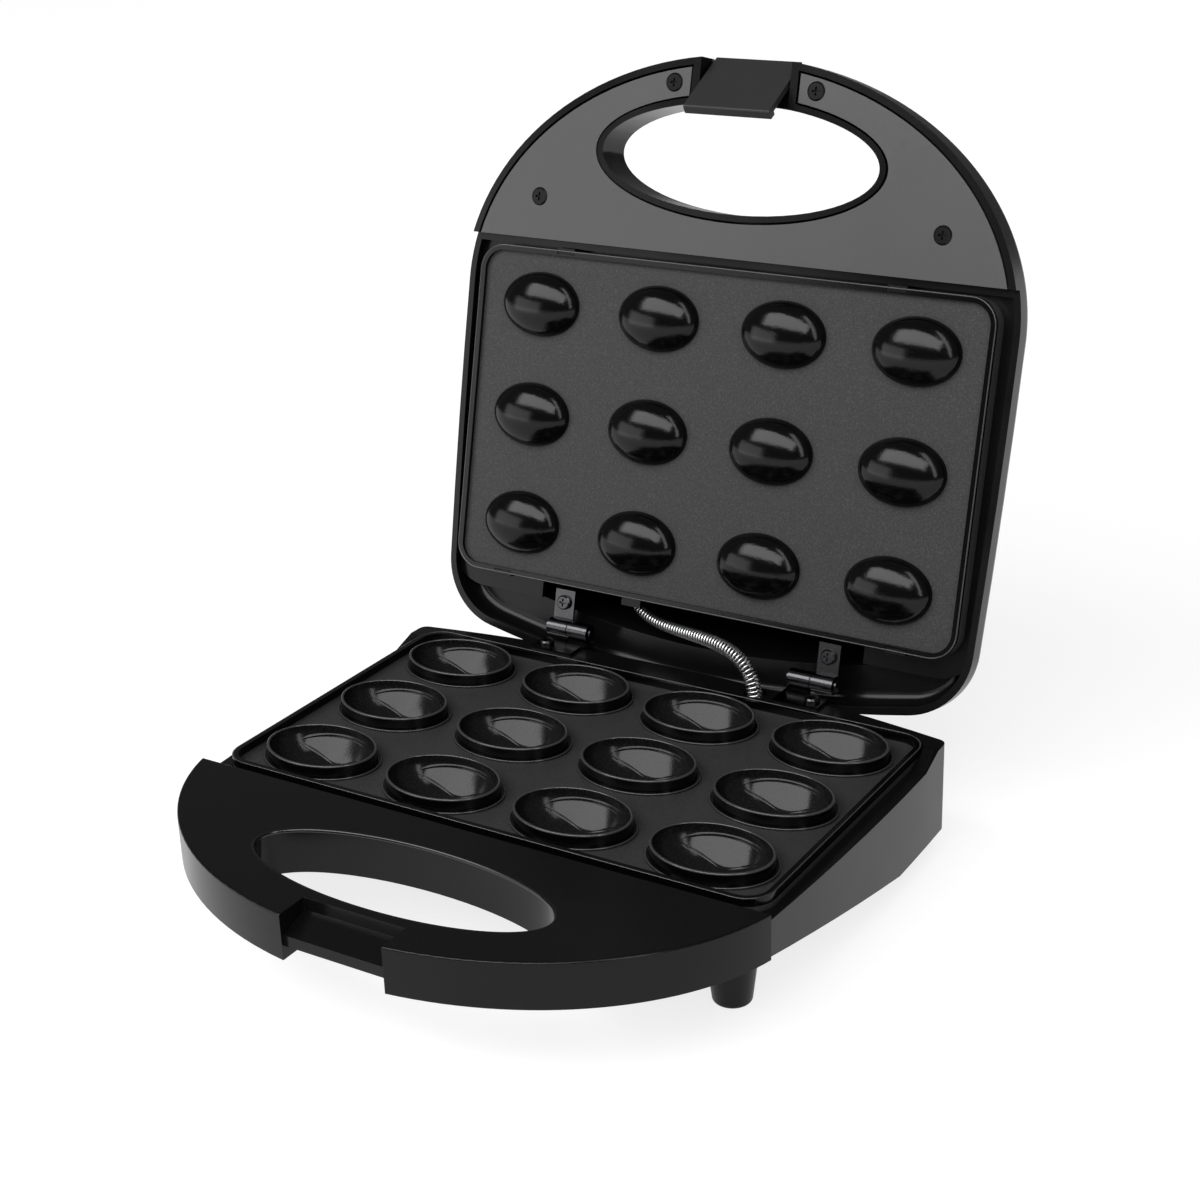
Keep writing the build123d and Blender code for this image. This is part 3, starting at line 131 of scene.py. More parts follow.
def add_softbox(name, azimuth, elevation, distance, width, height, radiance):
    """A rectangular area lamp at a direction from the object, facing it, of a given brightness."""
    data = bpy.data.lights.new(name, "AREA")
    data.shape = "RECTANGLE"
    data.size = width
    data.size_y = height
    data.energy = pi * width * height * radiance
    lamp = bpy.data.objects.new(name, data)
    lamp.visible_camera = False
    bpy.context.scene.collection.objects.link(lamp)
    away = Vector((
        sin(radians(azimuth)) * cos(radians(elevation)),
        -cos(radians(azimuth)) * cos(radians(elevation)),
        sin(radians(elevation)),
    ))
    lamp.location = studio_middle + away * distance
    lamp.rotation_euler = away.to_track_quat("Z", "Y").to_euler()


def add_world():
    """A plain grey room that lights the object evenly."""
    world = bpy.data.worlds.new("studio")
    bpy.context.scene.world = world
    world.use_nodes = True
    background = world.node_tree.nodes["Background"]
    background.inputs["Color"].default_value = (1, 1, 1, 1)
    background.inputs["Strength"].default_value = room_light


def new_mesh_object(name, points, faces):
    """A mesh object made of arrays of points and faces."""
    data = bpy.data.meshes.new(name)
    data.from_pydata(np.asarray(points).tolist(), [], faces)
    piece = bpy.data.objects.new(name, data)
    bpy.context.scene.collection.objects.link(piece)
    return piece


def faces_round(rings, sides, joined=False):
    """Four-cornered faces between neighbouring rings of points, and from the last to the first if joined."""
    ring = np.arange(rings if joined else rings - 1)[:, None]
    here, ahead = ring * sides, (ring + 1) % rings * sides
    side = np.arange(sides)[None, :]
    after = (side + 1) % sides
    return np.stack((here + side, here + after, ahead + after, ahead + side), axis=-1).reshape(-1, 4)


def repeated(faces, count, stride):
    """The same faces for each of several equal runs of points."""
    starts = np.arange(count) * stride
    return (faces[None] + starts[:, None, None]).reshape(-1, faces.shape[1]).tolist()


def add_floor():
    """A wide white floor that keeps a light shadow: seen or mirrored, most of its white glows by itself."""
    corners = np.array([(-1, -1, 0), (1, -1, 0), (1, 1, 0), (-1, 1, 0)]) * floor_reach
    floor = new_mesh_object("floor", corners, [(0, 1, 2, 3)])
    material = bpy.data.materials.new("white floor")
    material.use_nodes = True
    tree = material.node_tree
    tree.nodes.clear()
    path = tree.nodes.new("ShaderNodeLightPath")
    seen = tree.nodes.new("ShaderNodeMath")
    seen.operation = "MAXIMUM"
    seen_or_mirrored = tree.nodes.new("ShaderNodeMath")
    seen_or_mirrored.operation = "MAXIMUM"
    tree.links.new(path.outputs["Is Camera Ray"], seen.inputs[0])
    tree.links.new(path.outputs["Is Glossy Ray"], seen.inputs[1])
    tree.links.new(seen.outputs["Value"], seen_or_mirrored.inputs[0])
    tree.links.new(path.outputs["Is Transmission Ray"], seen_or_mirrored.inputs[1])
    plain = tree.nodes.new("ShaderNodeBsdfDiffuse")
    plain.inputs["Color"].default_value = (0.8, 0.8, 0.8, 1)
    shade = tree.nodes.new("ShaderNodeBsdfDiffuse")
    shade.inputs["Color"].default_value = (floor_shade, floor_shade, floor_shade, 1)
    glow = tree.nodes.new("ShaderNodeEmission")
    place = tree.nodes.new("ShaderNodeTexCoord")
    away = tree.nodes.new("ShaderNodeVectorMath")
    away.operation = "LENGTH"
    fade = tree.nodes.new("ShaderNodeMapRange")
    fade.interpolation_type = "SMOOTHSTEP"
    fade.inputs["From Min"].default_value = floor_near
    fade.inputs["From Max"].default_value = floor_far
    fade.inputs["To Min"].default_value = floor_glow
    fade.inputs["To Max"].default_value = floor_far_glow
    tree.links.new(place.outputs["Object"], away.inputs[0])
    tree.links.new(away.outputs["Value"], fade.inputs["Value"])
    tree.links.new(fade.outputs["Result"], glow.inputs["Strength"])
    both = tree.nodes.new("ShaderNodeAddShader")
    tree.links.new(shade.outputs["BSDF"], both.inputs[0])
    tree.links.new(glow.outputs["Emission"], both.inputs[1])
    mix = tree.nodes.new("ShaderNodeMixShader")
    tree.links.new(seen_or_mirrored.outputs["Value"], mix.inputs["Fac"])
    tree.links.new(plain.outputs["BSDF"], mix.inputs[1])
    tree.links.new(both.outputs["Shader"], mix.inputs[2])
    output = tree.nodes.new("ShaderNodeOutputMaterial")
    tree.links.new(mix.outputs["Shader"], output.inputs["Surface"])
    paint(floor, material)


# Effects that several finishes share
def new_group(name, inputs, outputs):
    """A shader node group with number inputs and outputs, and its two end nodes."""
    group = bpy.data.node_groups.new(name, "ShaderNodeTree")
    for title, value in inputs.items():
        group.interface.new_socket(title, in_out="INPUT", socket_type="NodeSocketFloat").default_value = value
    for title in outputs:
        group.interface.new_socket(title, in_out="OUTPUT", socket_type="NodeSocketFloat")
    return group, group.nodes.new("NodeGroupInput"), group.nodes.new("NodeGroupOutput")


def add_noise(group, place, scale_socket, detail):
    """A noise on the object's own coordinates, whose scale comes from a socket."""
    noise = group.nodes.new("ShaderNodeTexNoise")
    noise.inputs["Detail"].default_value = detail
    group.links.new(place.outputs["Object"], noise.inputs["Vector"])
    group.links.new(scale_socket, noise.inputs["Scale"])
    return noise.outputs["Fac"]


def grain_group():
    """Fine moulded or sprayed grain as a height, a fleck mask, and gloss that drifts from patch to patch."""
    group, start, end = new_group(
        "surface grain",
        {"Grain Scale": 900.0, "Patch Scale": 30.0, "Low": 0.2, "High": 0.3},
        ("Height", "Flecks", "Roughness"),
    )
    place = group.nodes.new("ShaderNodeTexCoord")
    fine = add_noise(group, place, start.outputs["Grain Scale"], 3.0)
    slow = add_noise(group, place, start.outputs["Patch Scale"], 2.0)
    spread = group.nodes.new("ShaderNodeMapRange")
    spread.inputs["From Min"].default_value = 0.35
    spread.inputs["From Max"].default_value = 0.65
    flecks = group.nodes.new("ShaderNodeMapRange")
    flecks.inputs["From Min"].default_value = 0.45
    flecks.inputs["From Max"].default_value = 0.75
    group.links.new(slow, spread.inputs["Value"])
    group.links.new(start.outputs["Low"], spread.inputs["To Min"])
    group.links.new(start.outputs["High"], spread.inputs["To Max"])
    group.links.new(fine, flecks.inputs["Value"])
    group.links.new(fine, end.inputs["Height"])
    group.links.new(flecks.outputs["Result"], end.inputs["Flecks"])
    group.links.new(spread.outputs["Result"], end.inputs["Roughness"])
    return group


def height_group():
    """A mask that goes from 0 to 1 as a height goes from one level to another."""
    group, start, end = new_group("raised forms", {"Height": 0.0, "From": 0.0, "To": 1.0}, ("Mask",))
    ramp = group.nodes.new("ShaderNodeMapRange")
    ramp.interpolation_type = "SMOOTHSTEP"
    group.links.new(start.outputs["Height"], ramp.inputs["Value"])
    group.links.new(start.outputs["From"], ramp.inputs["From Min"])
    group.links.new(start.outputs["To"], ramp.inputs["From Max"])
    group.links.new(ramp.outputs["Result"], end.inputs["Mask"])
    return group


grain = grain_group()
raised = height_group()


def add_grain(tree, low_rough, high_rough, grain_scale, bump_mm, patch_scale=30.0):
    """Places the grain effect in a material and lets it drive the bump."""
    shader = tree.nodes["Principled BSDF"]
    effect = tree.nodes.new("ShaderNodeGroup")
    effect.node_tree = grain
    effect.inputs["Grain Scale"].default_value = grain_scale
    effect.inputs["Patch Scale"].default_value = patch_scale
    effect.inputs["Low"].default_value = low_rough
    effect.inputs["High"].default_value = high_rough
    bump = tree.nodes.new("ShaderNodeBump")
    bump.inputs["Distance"].default_value = bump_mm * mm
    tree.links.new(effect.outputs["Height"], bump.inputs["Height"])
    tree.links.new(bump.outputs["Normal"], shader.inputs["Normal"])
    return effect


def add_color_mix(tree, mask, plain, other):
    """A colour that goes from one to another with a mask."""
    mix = tree.nodes.new("ShaderNodeMix")
    mix.data_type = "RGBA"
    mix.inputs["A"].default_value = (*plain, 1)
    mix.inputs["B"].default_value = (*other, 1)
    tree.links.new(mask, mix.inputs["Factor"])
    return mix.outputs["Result"]


def new_finish(name, color, low_rough, high_rough, grain_scale, bump_mm, fleck=1.25, **plain):
    """A moulded, cast, sprayed or plated finish: flecked colour, grain bump and slowly varying gloss."""
    material = bpy.data.materials.new(name)
    material.use_nodes = True
    tree = material.node_tree
    shader = tree.nodes["Principled BSDF"]
    for socket, value in plain.items():
        shader.inputs[socket.replace("_", " ")].default_value = value
    effect = add_grain(tree, low_rough, high_rough, grain_scale, bump_mm)
    lighter = tuple(min(1.0, part * fleck) for part in color)
    tree.links.new(add_color_mix(tree, effect.outputs["Flecks"], color, lighter), shader.inputs["Base Color"])
    tree.links.new(effect.outputs["Roughness"], shader.inputs["Roughness"])
    return material


def new_plate_finish(name, from_z, to_z, turned, gleam, shade):
    """Non-stick coat: satin and finely flecked on the flat, and polished black on what stands proud of it.

    The height is read along the plate's own upright, so the lid's plate is first turned closed."""
    material = bpy.data.materials.new(name)
    material.use_nodes = True
    tree = material.node_tree
    shader = tree.nodes["Principled BSDF"]
    place = tree.nodes.new("ShaderNodeTexCoord")
    turn = tree.nodes.new("ShaderNodeMapping")
    if turned:
        turn.inputs["Rotation"].default_value = (opening, 0, 0)
        turn.inputs["Location"].default_value = (
            0,
            hinge_y - (hinge_y * cos(opening) - hinge_z * sin(opening)),
            hinge_z - (hinge_y * sin(opening) + hinge_z * cos(opening)),
        )
    parts = tree.nodes.new("ShaderNodeSeparateXYZ")
    tree.links.new(place.outputs["Object"], turn.inputs["Vector"])
    tree.links.new(turn.outputs["Vector"], parts.inputs["Vector"])
    proud = tree.nodes.new("ShaderNodeGroup")
    proud.node_tree = raised
    proud.inputs["From"].default_value = from_z
    proud.inputs["To"].default_value = to_z
    tree.links.new(parts.outputs["Z"], proud.inputs["Height"])
    effect = add_grain(tree, coat_low_rough, coat_high_rough, coat_grain_scale, coat_bump_mm)
    # The shade is the flat's colour; it differs from plate to plate as painted shade
    fleck_shade = shade * coat_fleck
    flat_color = add_color_mix(tree, effect.outputs["Flecks"], (shade,) * 3, (fleck_shade,) * 3)
    color = tree.nodes.new("ShaderNodeMix")
    color.data_type = "RGBA"
    color.inputs["B"].default_value = (*polished_color, 1)
    tree.links.new(proud.outputs["Mask"], color.inputs["Factor"])
    tree.links.new(flat_color, color.inputs["A"])
    tree.links.new(color.outputs["Result"], shader.inputs["Base Color"])
    gloss = tree.nodes.new("ShaderNodeMix")
    gloss.inputs["B"].default_value = polished_rough
    tree.links.new(proud.outputs["Mask"], gloss.inputs["Factor"])
    tree.links.new(effect.outputs["Roughness"], gloss.inputs["A"])
    tree.links.new(gloss.outputs["Result"], shader.inputs["Roughness"])
    gleams = tree.nodes.new("ShaderNodeMix")
    gleams.inputs["A"].default_value = gleam
    gleams.inputs["B"].default_value = polished_gleam
    tree.links.new(proud.outputs["Mask"], gleams.inputs["Factor"])
    tree.links.new(gleams.outputs["Result"], shader.inputs["Specular IOR Level"])
    return material


coat_fleck = 1.7
coat_low_rough = 0.36
coat_high_rough = 0.42
coat_grain_scale = 1600.0
coat_bump_mm = 0.03
polished_color = (0.0012, 0.0012, 0.0012)
polished_rough = 0.14
polished_gleam = 0.24

steel = {"Metallic": 1.0}
soft_gleam = {"Specular_IOR_Level": 0.2}
finishes = {
    "black_shell": new_finish("black shell", (0.003, 0.003, 0.003), 0.18, 0.26, 700.0, 0.008, **soft_gleam),
    "black_panel": new_finish("black panel", (0.042, 0.042, 0.043), 0.38, 0.44, 2500.0, 0.03, fleck=1.12),
    "latch_grey": new_finish("latch grey", (0.022, 0.022, 0.022), 0.34, 0.42, 2500.0, 0.03, **soft_gleam),
    "plated_steel": new_finish("plated steel", (0.55, 0.55, 0.55), 0.28, 0.36, 900.0, 0.01, **steel),
    "dark_steel": new_finish("dark steel", (0.06, 0.06, 0.063), 0.16, 0.26, 900.0, 0.01, **steel),
    "heater_sheath": new_finish("heater sheath", (0.25, 0.23, 0.21), 0.35, 0.5, 900.0, 0.02, **steel),
    "reflector_sheet": new_finish("reflector sheet", (0.75, 0.75, 0.76), 0.3, 0.4, 900.0, 0.02, **steel),
    "foot_plastic": new_finish("foot plastic", (0.004, 0.004, 0.004), 0.3, 0.4, 2000.0, 0.03, **soft_gleam),
    "wire_cover": new_finish("wire cover", (0.6, 0.58, 0.52), 0.6, 0.8, 2500.0, 0.08),
    "gland_rubber": new_finish("gland rubber", (0.012, 0.012, 0.012), 0.45, 0.55, 2000.0, 0.03),
    "ceramic": new_finish("ceramic", (0.75, 0.73, 0.68), 0.4, 0.5, 2000.0, 0.03),
    "lens_red": new_finish("red lens", (0.5, 0.01, 0.01), 0.08, 0.12, 900.0, 0.01),
    "lens_green": new_finish("green lens", (0.01, 0.3, 0.03), 0.08, 0.12, 900.0, 0.01),
    "lamp_glass": new_finish("lamp glass", (0.8, 0.75, 0.7), 0.05, 0.1, 900.0, 0.0),
}
black_screw = new_finish("black screw", (0.003, 0.003, 0.003), 0.25, 0.35, 900.0, 0.01, **soft_gleam)
clip_steel = new_finish("clip steel", (0.02, 0.02, 0.02), 0.3, 0.4, 900.0, 0.01, **steel)
spring_steel = new_finish("spring steel", (0.72, 0.72, 0.72), 0.24, 0.32, 900.0, 0.01, **steel)
# Lighter than the black it runs along, so that the thin beads show bright lines: painted highlight along the
# rounded edges
painted_highlight_edge = new_finish("painted highlight edge", (0.03, 0.03, 0.03), 0.16, 0.22, 1600.0, 0.01)
shell_edge = new_finish("shell edge", (0.003, 0.003, 0.003), 0.18, 0.24, 1600.0, 0.01)
dark_sleeve = new_finish("dark sleeve", (0.02, 0.02, 0.02), 0.6, 0.8, 2500.0, 0.08)
# One non-stick coat on both plates, but its flat is painted darker on the lower plate (0.022) than on the upper
# (0.033): painted shade, since the lower plate lies face up and takes more light
lower_plate_finish = new_plate_finish(
    "lower plate coat", lower_flat_z + raised_step / 2, lower_flat_z + 2 * raised_step, False, 0.4, 0.022
)
upper_plate_finish = new_plate_finish(
    "upper plate coat", upper_flat_z - raised_step / 2, upper_flat_z - 2 * raised_step, True, 0.12, 0.033
)
bowl_finish = new_finish(
    "bowl coat", (0.004, 0.004, 0.004), 0.13, 0.19, 1600.0, 0.02, fleck=2.5, Specular_IOR_Level=0.24
)
own_finishes = {
    "lower_plate": lower_plate_finish,
    "upper_plate": upper_plate_finish,
    "handle_panel_screws": black_screw,
    "upper_plate_clips": clip_steel,
    "conduit_lead": dark_sleeve,
    "spring_conduit": spring_steel,
}

slot_of = {entry["node"]: entry["material_slot"] for entry in frame["record"]["subparts"]}


def paint(piece, material):
    """Gives a piece one material."""
    piece.data.materials.clear()
    piece.data.materials.append(material)


def finish_for(node):
    """The finish of a node: its own, or else that of its material slot."""
    return own_finishes[node] if node in own_finishes else finishes[slot_of[node]]


# Skins with rounded edges
smooth_limit = radians(34.0)
merge_distance = 0.002 * mm
flat_limit = radians(0.4)
round_segments = 2


def add_rounded_skin(node, edge_mm):
    """A copy of a solid's skin: doubles merged, flat faces joined, sharp edges rounded by a bevel."""
    data = nodes[node].data.copy()
    skin = bpy.data.objects.new(f"{node}_skin", data)
    bpy.context.scene.collection.objects.link(skin)
    if "custom_normal" in data.attributes:
        data.attributes.remove(data.attributes["custom_normal"])
    mesh = bmesh.new()
    mesh.from_mesh(data)
    bmesh.ops.remove_doubles(mesh, verts=mesh.verts, dist=merge_distance)
    bmesh.ops.dissolve_limit(mesh, angle_limit=flat_limit, verts=mesh.verts, edges=mesh.edges)
    mesh.to_mesh(data)
    mesh.free()
    data.shade_smooth()
    data.set_sharp_from_angle(angle=smooth_limit)
    bevel = skin.modifiers.new("rounded edges", "BEVEL")
    bevel.limit_method = "ANGLE"
    bevel.angle_limit = smooth_limit
    bevel.width = edge_mm * mm
    bevel.segments = round_segments
    bevel.use_clamp_overlap = True
    weigh = skin.modifiers.new("flat faces stay flat", "WEIGHTED_NORMAL")
    weigh.mode = "FACE_AREA"
    weigh.weight = 100
    paint(skin, finish_for(node))
    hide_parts(node)
    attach(skin, body_of[node])


# Spring conduit and the lead inside it, from the lid's rib down to the base's deck
conduit_start = (-29.0 * mm, plates_middle_y + 68.0 * mm, 56.0 * mm)
conduit_start_turn = radians(46.6)
conduit_start_pull = 20.4 * mm
conduit_end = (35.0 * mm, plates_middle_y + 70.5 * mm, 40.0 * mm)
conduit_end_pull = 34.0 * mm
coil_start_r = 1.7 * mm
coil_end_r = 2.8 * mm
coil_wire_r = 0.34 * mm
coil_turns = 54
coil_turn_steps = 18
coil_wire_sides = 8
lead_r = 1.1 * mm
lead_steps = 60
lead_sides = 16
curve_runs = 800
end_sharp_angle = radians(65.0)


def conduit_curve(shares):
    """The conduit's middle line: a cubic curve with the points a, b, c, d, at even shares of its length.

    At t it is a(1-t)^3 + 3b(1-t)^2 t + 3c(1-t) t^2 + d t^3. The lengths of many short runs are added up,
    and t is read back from them. The ways are the curve's slope, of length one."""
    a = np.array(in_lid(conduit_start))
    start_way = np.array(way_in_lid((cos(conduit_start_turn), sin(conduit_start_turn), 0)))
    d = np.array(conduit_end)
    b = a + start_way * conduit_start_pull
    c = d + np.array((0, 0, conduit_end_pull))

    def at(t):
        t = t[:, None]
        return a * (1 - t) ** 3 + 3 * b * (1 - t) ** 2 * t + 3 * c * (1 - t) * t ** 2 + d * t ** 3

    steps = np.linspace(0, 1, curve_runs + 1)
    runs = np.linalg.norm(np.diff(at(steps), axis=0), axis=1)
    lengths = np.concatenate(([0], np.cumsum(runs)))
    t = np.interp(shares * lengths[-1], lengths, steps)
    points = at(t)
    t = t[:, None]
    ways = (b - a) * (1 - t) ** 2 + 2 * (c - b) * (1 - t) * t + (d - c) * t ** 2
    return points, ways / np.linalg.norm(ways, axis=1, keepdims=True)


def sideways(ways):
    """Two directions square to each way and to each other, the first one square to the Y axis."""
    across = np.cross(ways, (0.0, 1.0, 0.0))
    across /= np.linalg.norm(across, axis=1, keepdims=True)
    return across, np.cross(ways, across)


def add_tube(name, points, across, over, radius, sides):
    """A round tube: a circle of a radius carried along points in the plane of two directions, with flat ends."""
    angles = np.linspace(0, 2 * pi, sides, endpoint=False)
    ring = across[:, None] * np.cos(angles)[None, :, None] + over[:, None] * np.sin(angles)[None, :, None]
    grid = points[:, None] + ring * radius
    count = len(points)
    ends = [np.arange(sides)[::-1].tolist(), ((count - 1) * sides + np.arange(sides)).tolist()]
    piece = new_mesh_object(name, grid.reshape(-1, 3), faces_round(count, sides).tolist() + ends)
    piece.data.shade_smooth()
    piece.data.set_sharp_from_angle(angle=end_sharp_angle)
    return piece


def add_conduit():
    """A close spring whose coils widen towards the base, round a plain lead."""
    shares = np.linspace(0, 1, coil_turns * coil_turn_steps + 1)
    middle, ways = conduit_curve(shares)
    across, over = sideways(ways)
    turn = 2 * pi * coil_turns * shares[:, None]
    radius = (coil_start_r + (coil_end_r - coil_start_r) * shares)[:, None]
    outward = across * np.cos(turn) + over * np.sin(turn)
    wire = middle + radius * outward
    wire_ways = np.gradient(wire, axis=0)
    wire_ways /= np.linalg.norm(wire_ways, axis=1, keepdims=True)
    aside = np.cross(wire_ways, outward)
    aside /= np.linalg.norm(aside, axis=1, keepdims=True)
    spring = add_tube("spring_wire", wire, np.cross(aside, wire_ways), aside, coil_wire_r, coil_wire_sides)
    paint(spring, finish_for("spring_conduit"))
    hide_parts("spring_conduit")
    lead_points, lead_ways = conduit_curve(np.linspace(0, 1, lead_steps))
    lead = add_tube("conduit_lead_sleeve", lead_points, *sideways(lead_ways), lead_r, lead_sides)
    paint(lead, finish_for("conduit_lead"))
    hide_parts("conduit_lead")
    for piece in (spring, lead):
        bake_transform(piece)


# Linings of the bowls, over the plate's own
bowl_count = 12
bowl_pitch_x = 52.5 * mm
bowl_pitch_y = 43.0 * mm
bowl_top_z = 47.0 * mm
bowl_half_length = 20.35 * mm
bowl_half_width = 14.85 * mm
bowl_depth = 12.45 * mm
facet_top = 3.0 * mm
facet_bottom = 10.9 * mm
facet_top_drop = 1.6 * mm
facet_bottom_rise = 5.0 * mm
facet_reach = 0.85
facet_point = 2.5
facet_fade_end = 0.94
facet_fade_width = 0.36
crease_rise = 0.25 * mm
crease_reach = 0.3 * mm
crease_rows = np.array((-1.0, -0.5, 0.0, 0.5, 1.0))
crease_shares = np.array((0.0, 0.6, 1.0, 0.6, 0.0))
lining_back = 0.03 * mm
lining_rounds = 88
rows_above, rows_on_facet, rows_below, rows_behind = 8, 10, 11, 15
pole_angle = pi / 2 * 0.998
last_depth_share = 0.9999
lining_sharp_angle = radians(60.0)


def bowl_places():
    """The middles of the twelve bowls, in the mould's top plane."""
    columns = (np.arange(4) - 1.5) * bowl_pitch_x
    rows = plates_middle_y + (np.arange(3) - 1.0) * bowl_pitch_y
    x, y = np.meshgrid(columns, rows)
    return np.stack((x.ravel(), y.ravel(), np.full(bowl_count, bowl_top_z)), axis=-1)


def add_bowl_linings():
    """Twelve nut half shells: half an ellipsoid with a lens-shaped facet along each long side.

    A point at the turn w round the bowl and the depth d lies at s(d) of the rim's oval, where
    s is sqrt(1 - (d / bowl depth)^2). On a facet s goes straight from its value at the upper crease to
    that at the lower one, so the wall is flat there, and the facet narrows and fades towards the ends.
    Each crease stands up a little as a soft ridge, and has a row of points of its own. A plain half
    ellipsoid a little wider and deeper closes each shell from behind."""
    turn = np.linspace(0, 2 * pi, lining_rounds, endpoint=False)[None, :]
    end_way = np.clip(np.abs(np.cos(turn)) / facet_reach, 0, 1) ** facet_point
    upper = facet_top + facet_top_drop * end_way
    lower = facet_bottom - facet_bottom_rise * end_way
    fade = np.clip((facet_fade_end - np.abs(np.cos(turn))) / facet_fade_width, 0, 1)
    fade = fade * fade * (3 - 2 * fade)

    def between(low, high, shares):
        return low + (high - low) * np.asarray(shares)[:, None]

    def oval_share(d):
        return np.sqrt(1 - (d / bowl_depth) ** 2)

    near = crease_rows[:, None] * crease_reach
    deepest = np.sin(np.linspace(0.0, 1.0, rows_below + 1)[1:] * pole_angle)
    depth = np.concatenate((
        between(0 * upper, upper - crease_reach, np.linspace(0, 1, rows_above + 1)[:-1]),
        upper + near,
        between(upper + crease_reach, lower - crease_reach, np.linspace(0, 1, rows_on_facet + 2)[1:-1]),
        lower + near,
        between(lower + crease_reach, bowl_depth + 0 * lower, deepest * last_depth_share),
    ))
    ridge = np.concatenate((
        np.zeros(rows_above), crease_shares, np.zeros(rows_on_facet), crease_shares, np.zeros(rows_below)
    ))
    along = (depth - upper) / (lower - upper)
    flat = oval_share(upper) + (oval_share(lower) - oval_share(upper)) * along
    on_facet = ((along > 0) & (along < 1)) * fade
    scale = oval_share(depth) * (1 - on_facet) + flat * on_facet
    scale = scale - ridge[:, None] * fade * crease_rise / bowl_half_width
    front = np.stack(
        (bowl_half_length * scale * np.cos(turn), bowl_half_width * scale * np.sin(turn), -depth), axis=-1
    )
    rising = np.linspace(pole_angle, 0, rows_behind)[:, None]
    behind = np.stack((
        (bowl_half_length + lining_back) * np.cos(rising) * np.cos(turn),
        (bowl_half_width + lining_back) * np.cos(rising) * np.sin(turn),
        -(bowl_depth + lining_back) * np.sin(rising) * np.ones_like(turn),
    ), axis=-1)
    shell = np.concatenate((behind, front))
    rows = len(shell)
    size = rows * lining_rounds
    points = (bowl_places()[:, None] + shell.reshape(-1, 3)[None]).reshape(-1, 3)
    walls = repeated(faces_round(rows, lining_rounds), bowl_count, size)
    floors = repeated((size - lining_rounds + np.arange(lining_rounds))[None], bowl_count, size)
    backs = repeated(np.arange(lining_rounds)[::-1][None], bowl_count, size)
    linings = new_mesh_object("bowl_linings", points, walls + floors + backs)
    linings.data.shade_smooth()
    linings.data.set_sharp_from_angle(angle=lining_sharp_angle)
    paint(linings, bowl_finish)
    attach(linings, "base")


# Thin rounded edges: on the bowls' rings, round both plates and round the base's finger hole. All but the finger
# hole's are coloured lighter than the black round them, as painted highlight
ring_half_length = 21.5 * mm
ring_half_width = 16.0 * mm
rim_inset = 0.55 * mm
rim_bead_r = 0.55 * mm
rim_bead_down = 0.25 * mm
foot_flare = 1.15 * mm
foot_bead_z = 42.75 * mm
thin_bead_r = 0.3 * mm
plate_half_width = 107.5 * mm
plate_half_depth = 64.5 * mm
plate_corner_r = 10.0 * mm
lower_lip_z = 45.2 * mm
upper_lip_z = 45.6 * mm
finger_half_length = 57.0 * mm
finger_half_width = 20.0 * mm
finger_y = plates_middle_y - 104.0 * mm
finger_bead_r = 0.8 * mm
finger_bead_in = 0.35 * mm
finger_bead_down = 0.65 * mm
lip_bead_in = 0.15 * mm
bead_sides = 8
ring_steps = 96
finger_steps = 128
corner_steps = 11
upwards = np.array((0.0, 0.0, 1.0))


def oval(half_length, half_width, count):
    """Points of an ellipse in the X and Y plane, as (cos, sin) of even angles times its half sizes."""
    angles = np.linspace(0, 2 * pi, count, endpoint=False)
    return np.stack((half_length * np.cos(angles), half_width * np.sin(angles), 0 * angles), axis=-1)


def rounded_rectangle(half_width, half_depth, corner_r):
    """Points of a rectangle with rounded corners in the X and Y plane: four quarter circles in turn."""
    quarter = np.linspace(0, pi / 2, corner_steps)
    angles = (quarter[None] + np.arange(4)[:, None] * pi / 2).ravel()
    right = np.repeat((1, -1, -1, 1), corner_steps) * (half_width - corner_r)
    back = np.repeat((1, 1, -1, -1), corner_steps) * (half_depth - corner_r)
    return np.stack((right + corner_r * np.cos(angles), back + corner_r * np.sin(angles), 0 * angles), axis=-1)


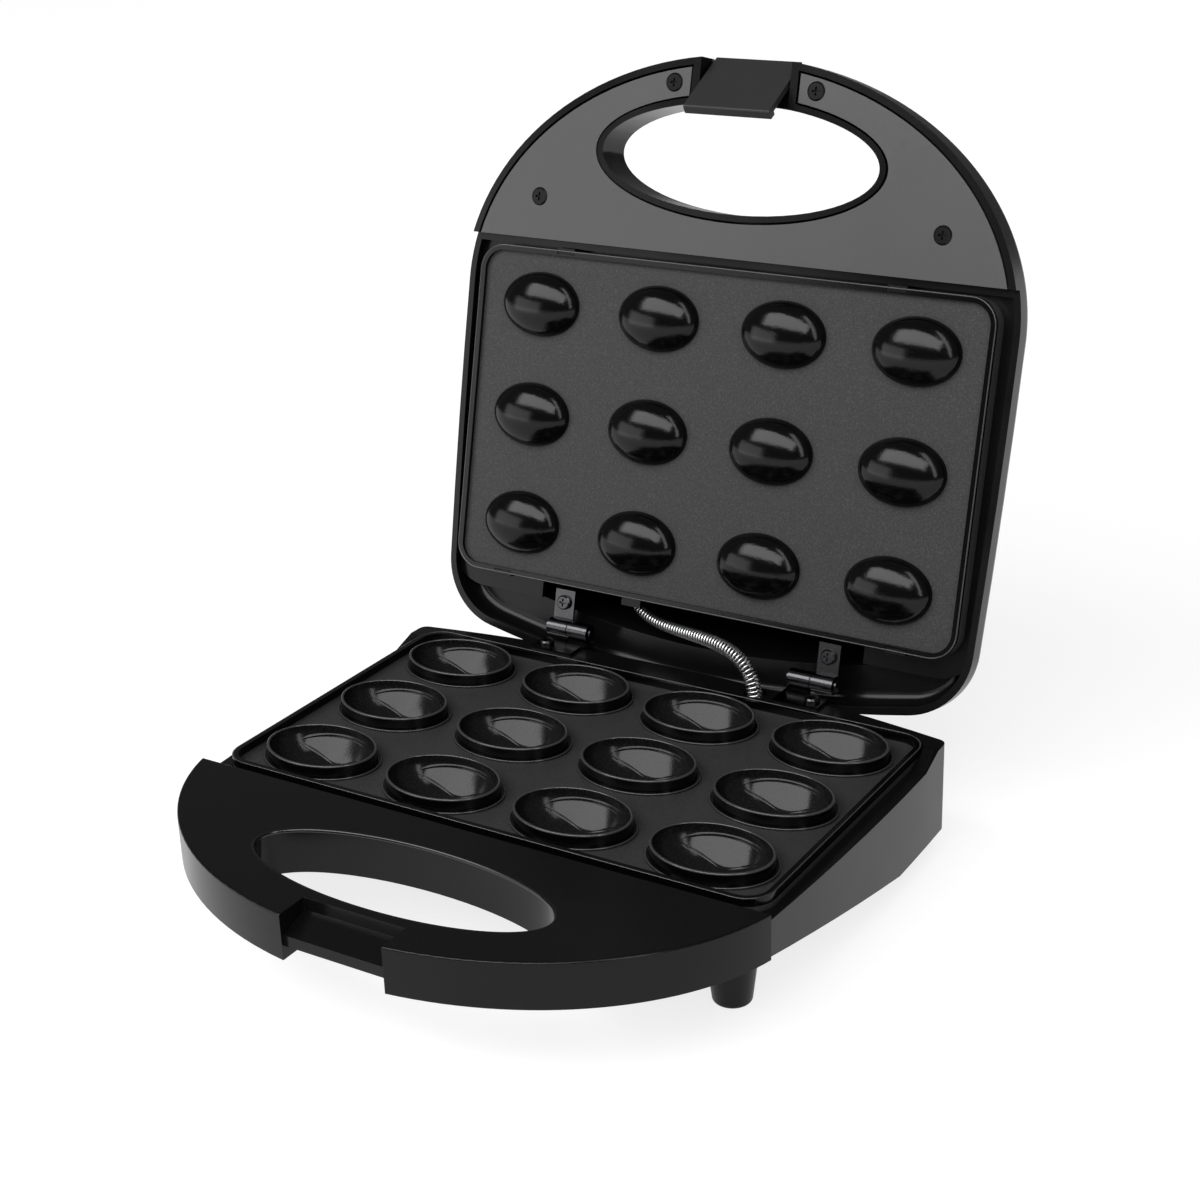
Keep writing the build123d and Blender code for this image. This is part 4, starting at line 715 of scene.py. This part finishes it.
def add_beads(name, loops, radius, body, finish):
    """Closed round beads: a circle carried along each flat loop, which runs anticlockwise seen from above."""
    ways = np.roll(loops, -1, axis=1) - np.roll(loops, 1, axis=1)
    ways /= np.linalg.norm(ways, axis=2, keepdims=True)
    out = np.stack((ways[..., 1], -ways[..., 0], 0 * ways[..., 2]), axis=-1)
    angles = np.linspace(0, 2 * pi, bead_sides, endpoint=False)
    circle = out[:, :, None] * np.cos(angles)[:, None] + upwards * np.sin(angles)[:, None]
    points = (loops[:, :, None] + circle * radius).reshape(-1, 3)
    if body == "lid":
        points = np.stack(in_lid(tuple(points.T)), axis=-1)
    steps = loops.shape[1]
    quads = faces_round(steps, bead_sides, joined=True)[:, [0, 3, 2, 1]]
    piece = new_mesh_object(name, points, repeated(quads, len(loops), steps * bead_sides))
    piece.data.shade_smooth()
    paint(piece, finish)
    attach(piece, body)


def add_all_beads():
    """The beads of the rings, the plates' lips and the finger hole."""
    places = bowl_places()[:, None]
    rims = places + oval(ring_half_length - rim_inset, ring_half_width - rim_inset, ring_steps)
    rims[..., 2] -= rim_bead_down
    # The rims, feet and lips get the lighter edge colour: painted highlight
    add_beads("ring_rims", rims, rim_bead_r, "base", painted_highlight_edge)
    feet = places + oval(ring_half_length + foot_flare, ring_half_width + foot_flare, ring_steps)
    feet[..., 2] = foot_bead_z
    add_beads("ring_feet", feet, thin_bead_r, "base", painted_highlight_edge)
    lip = rounded_rectangle(plate_half_width - thin_bead_r, plate_half_depth - thin_bead_r, plate_corner_r)
    lip[:, 1] += plates_middle_y
    lower_lip = (lip + upwards * (lower_lip_z - lip_bead_in))[None]
    upper_lip = (lip + upwards * (upper_lip_z + lip_bead_in))[None]
    add_beads("lower_lip_edge", lower_lip, thin_bead_r, "base", painted_highlight_edge)
    add_beads("upper_lip_edge", upper_lip, thin_bead_r, "lid", painted_highlight_edge)
    hole = oval(finger_half_length + finger_bead_in, finger_half_width + finger_bead_in, finger_steps)
    hole[:, 1] += finger_y
    hole[:, 2] = max(point.co.z for point in nodes["base_handle_cover"].data.vertices) - finger_bead_down
    add_beads("base_finger_edge", hole[None], finger_bead_r, "base", shell_edge)


for node, piece in nodes.items():
    paint(piece, finish_for(node))

rounded_edges_mm = {
    "base_housing": 0.6, "base_handle_cover": 0.9, "lid_housing": 0.5, "lid_handle_panel": 0.3,
    "lower_plate": 0.3, "upper_plate": 0.35, "latch": 0.4,
}
for node, edge_mm in rounded_edges_mm.items():
    add_rounded_skin(node, edge_mm)

add_bowl_linings()
add_all_beads()
add_conduit()
add_camera()
add_world()
add_floor()
for softbox in softboxes:
    add_softbox(*softbox)

bpy.context.scene.view_settings.view_transform = "Standard"
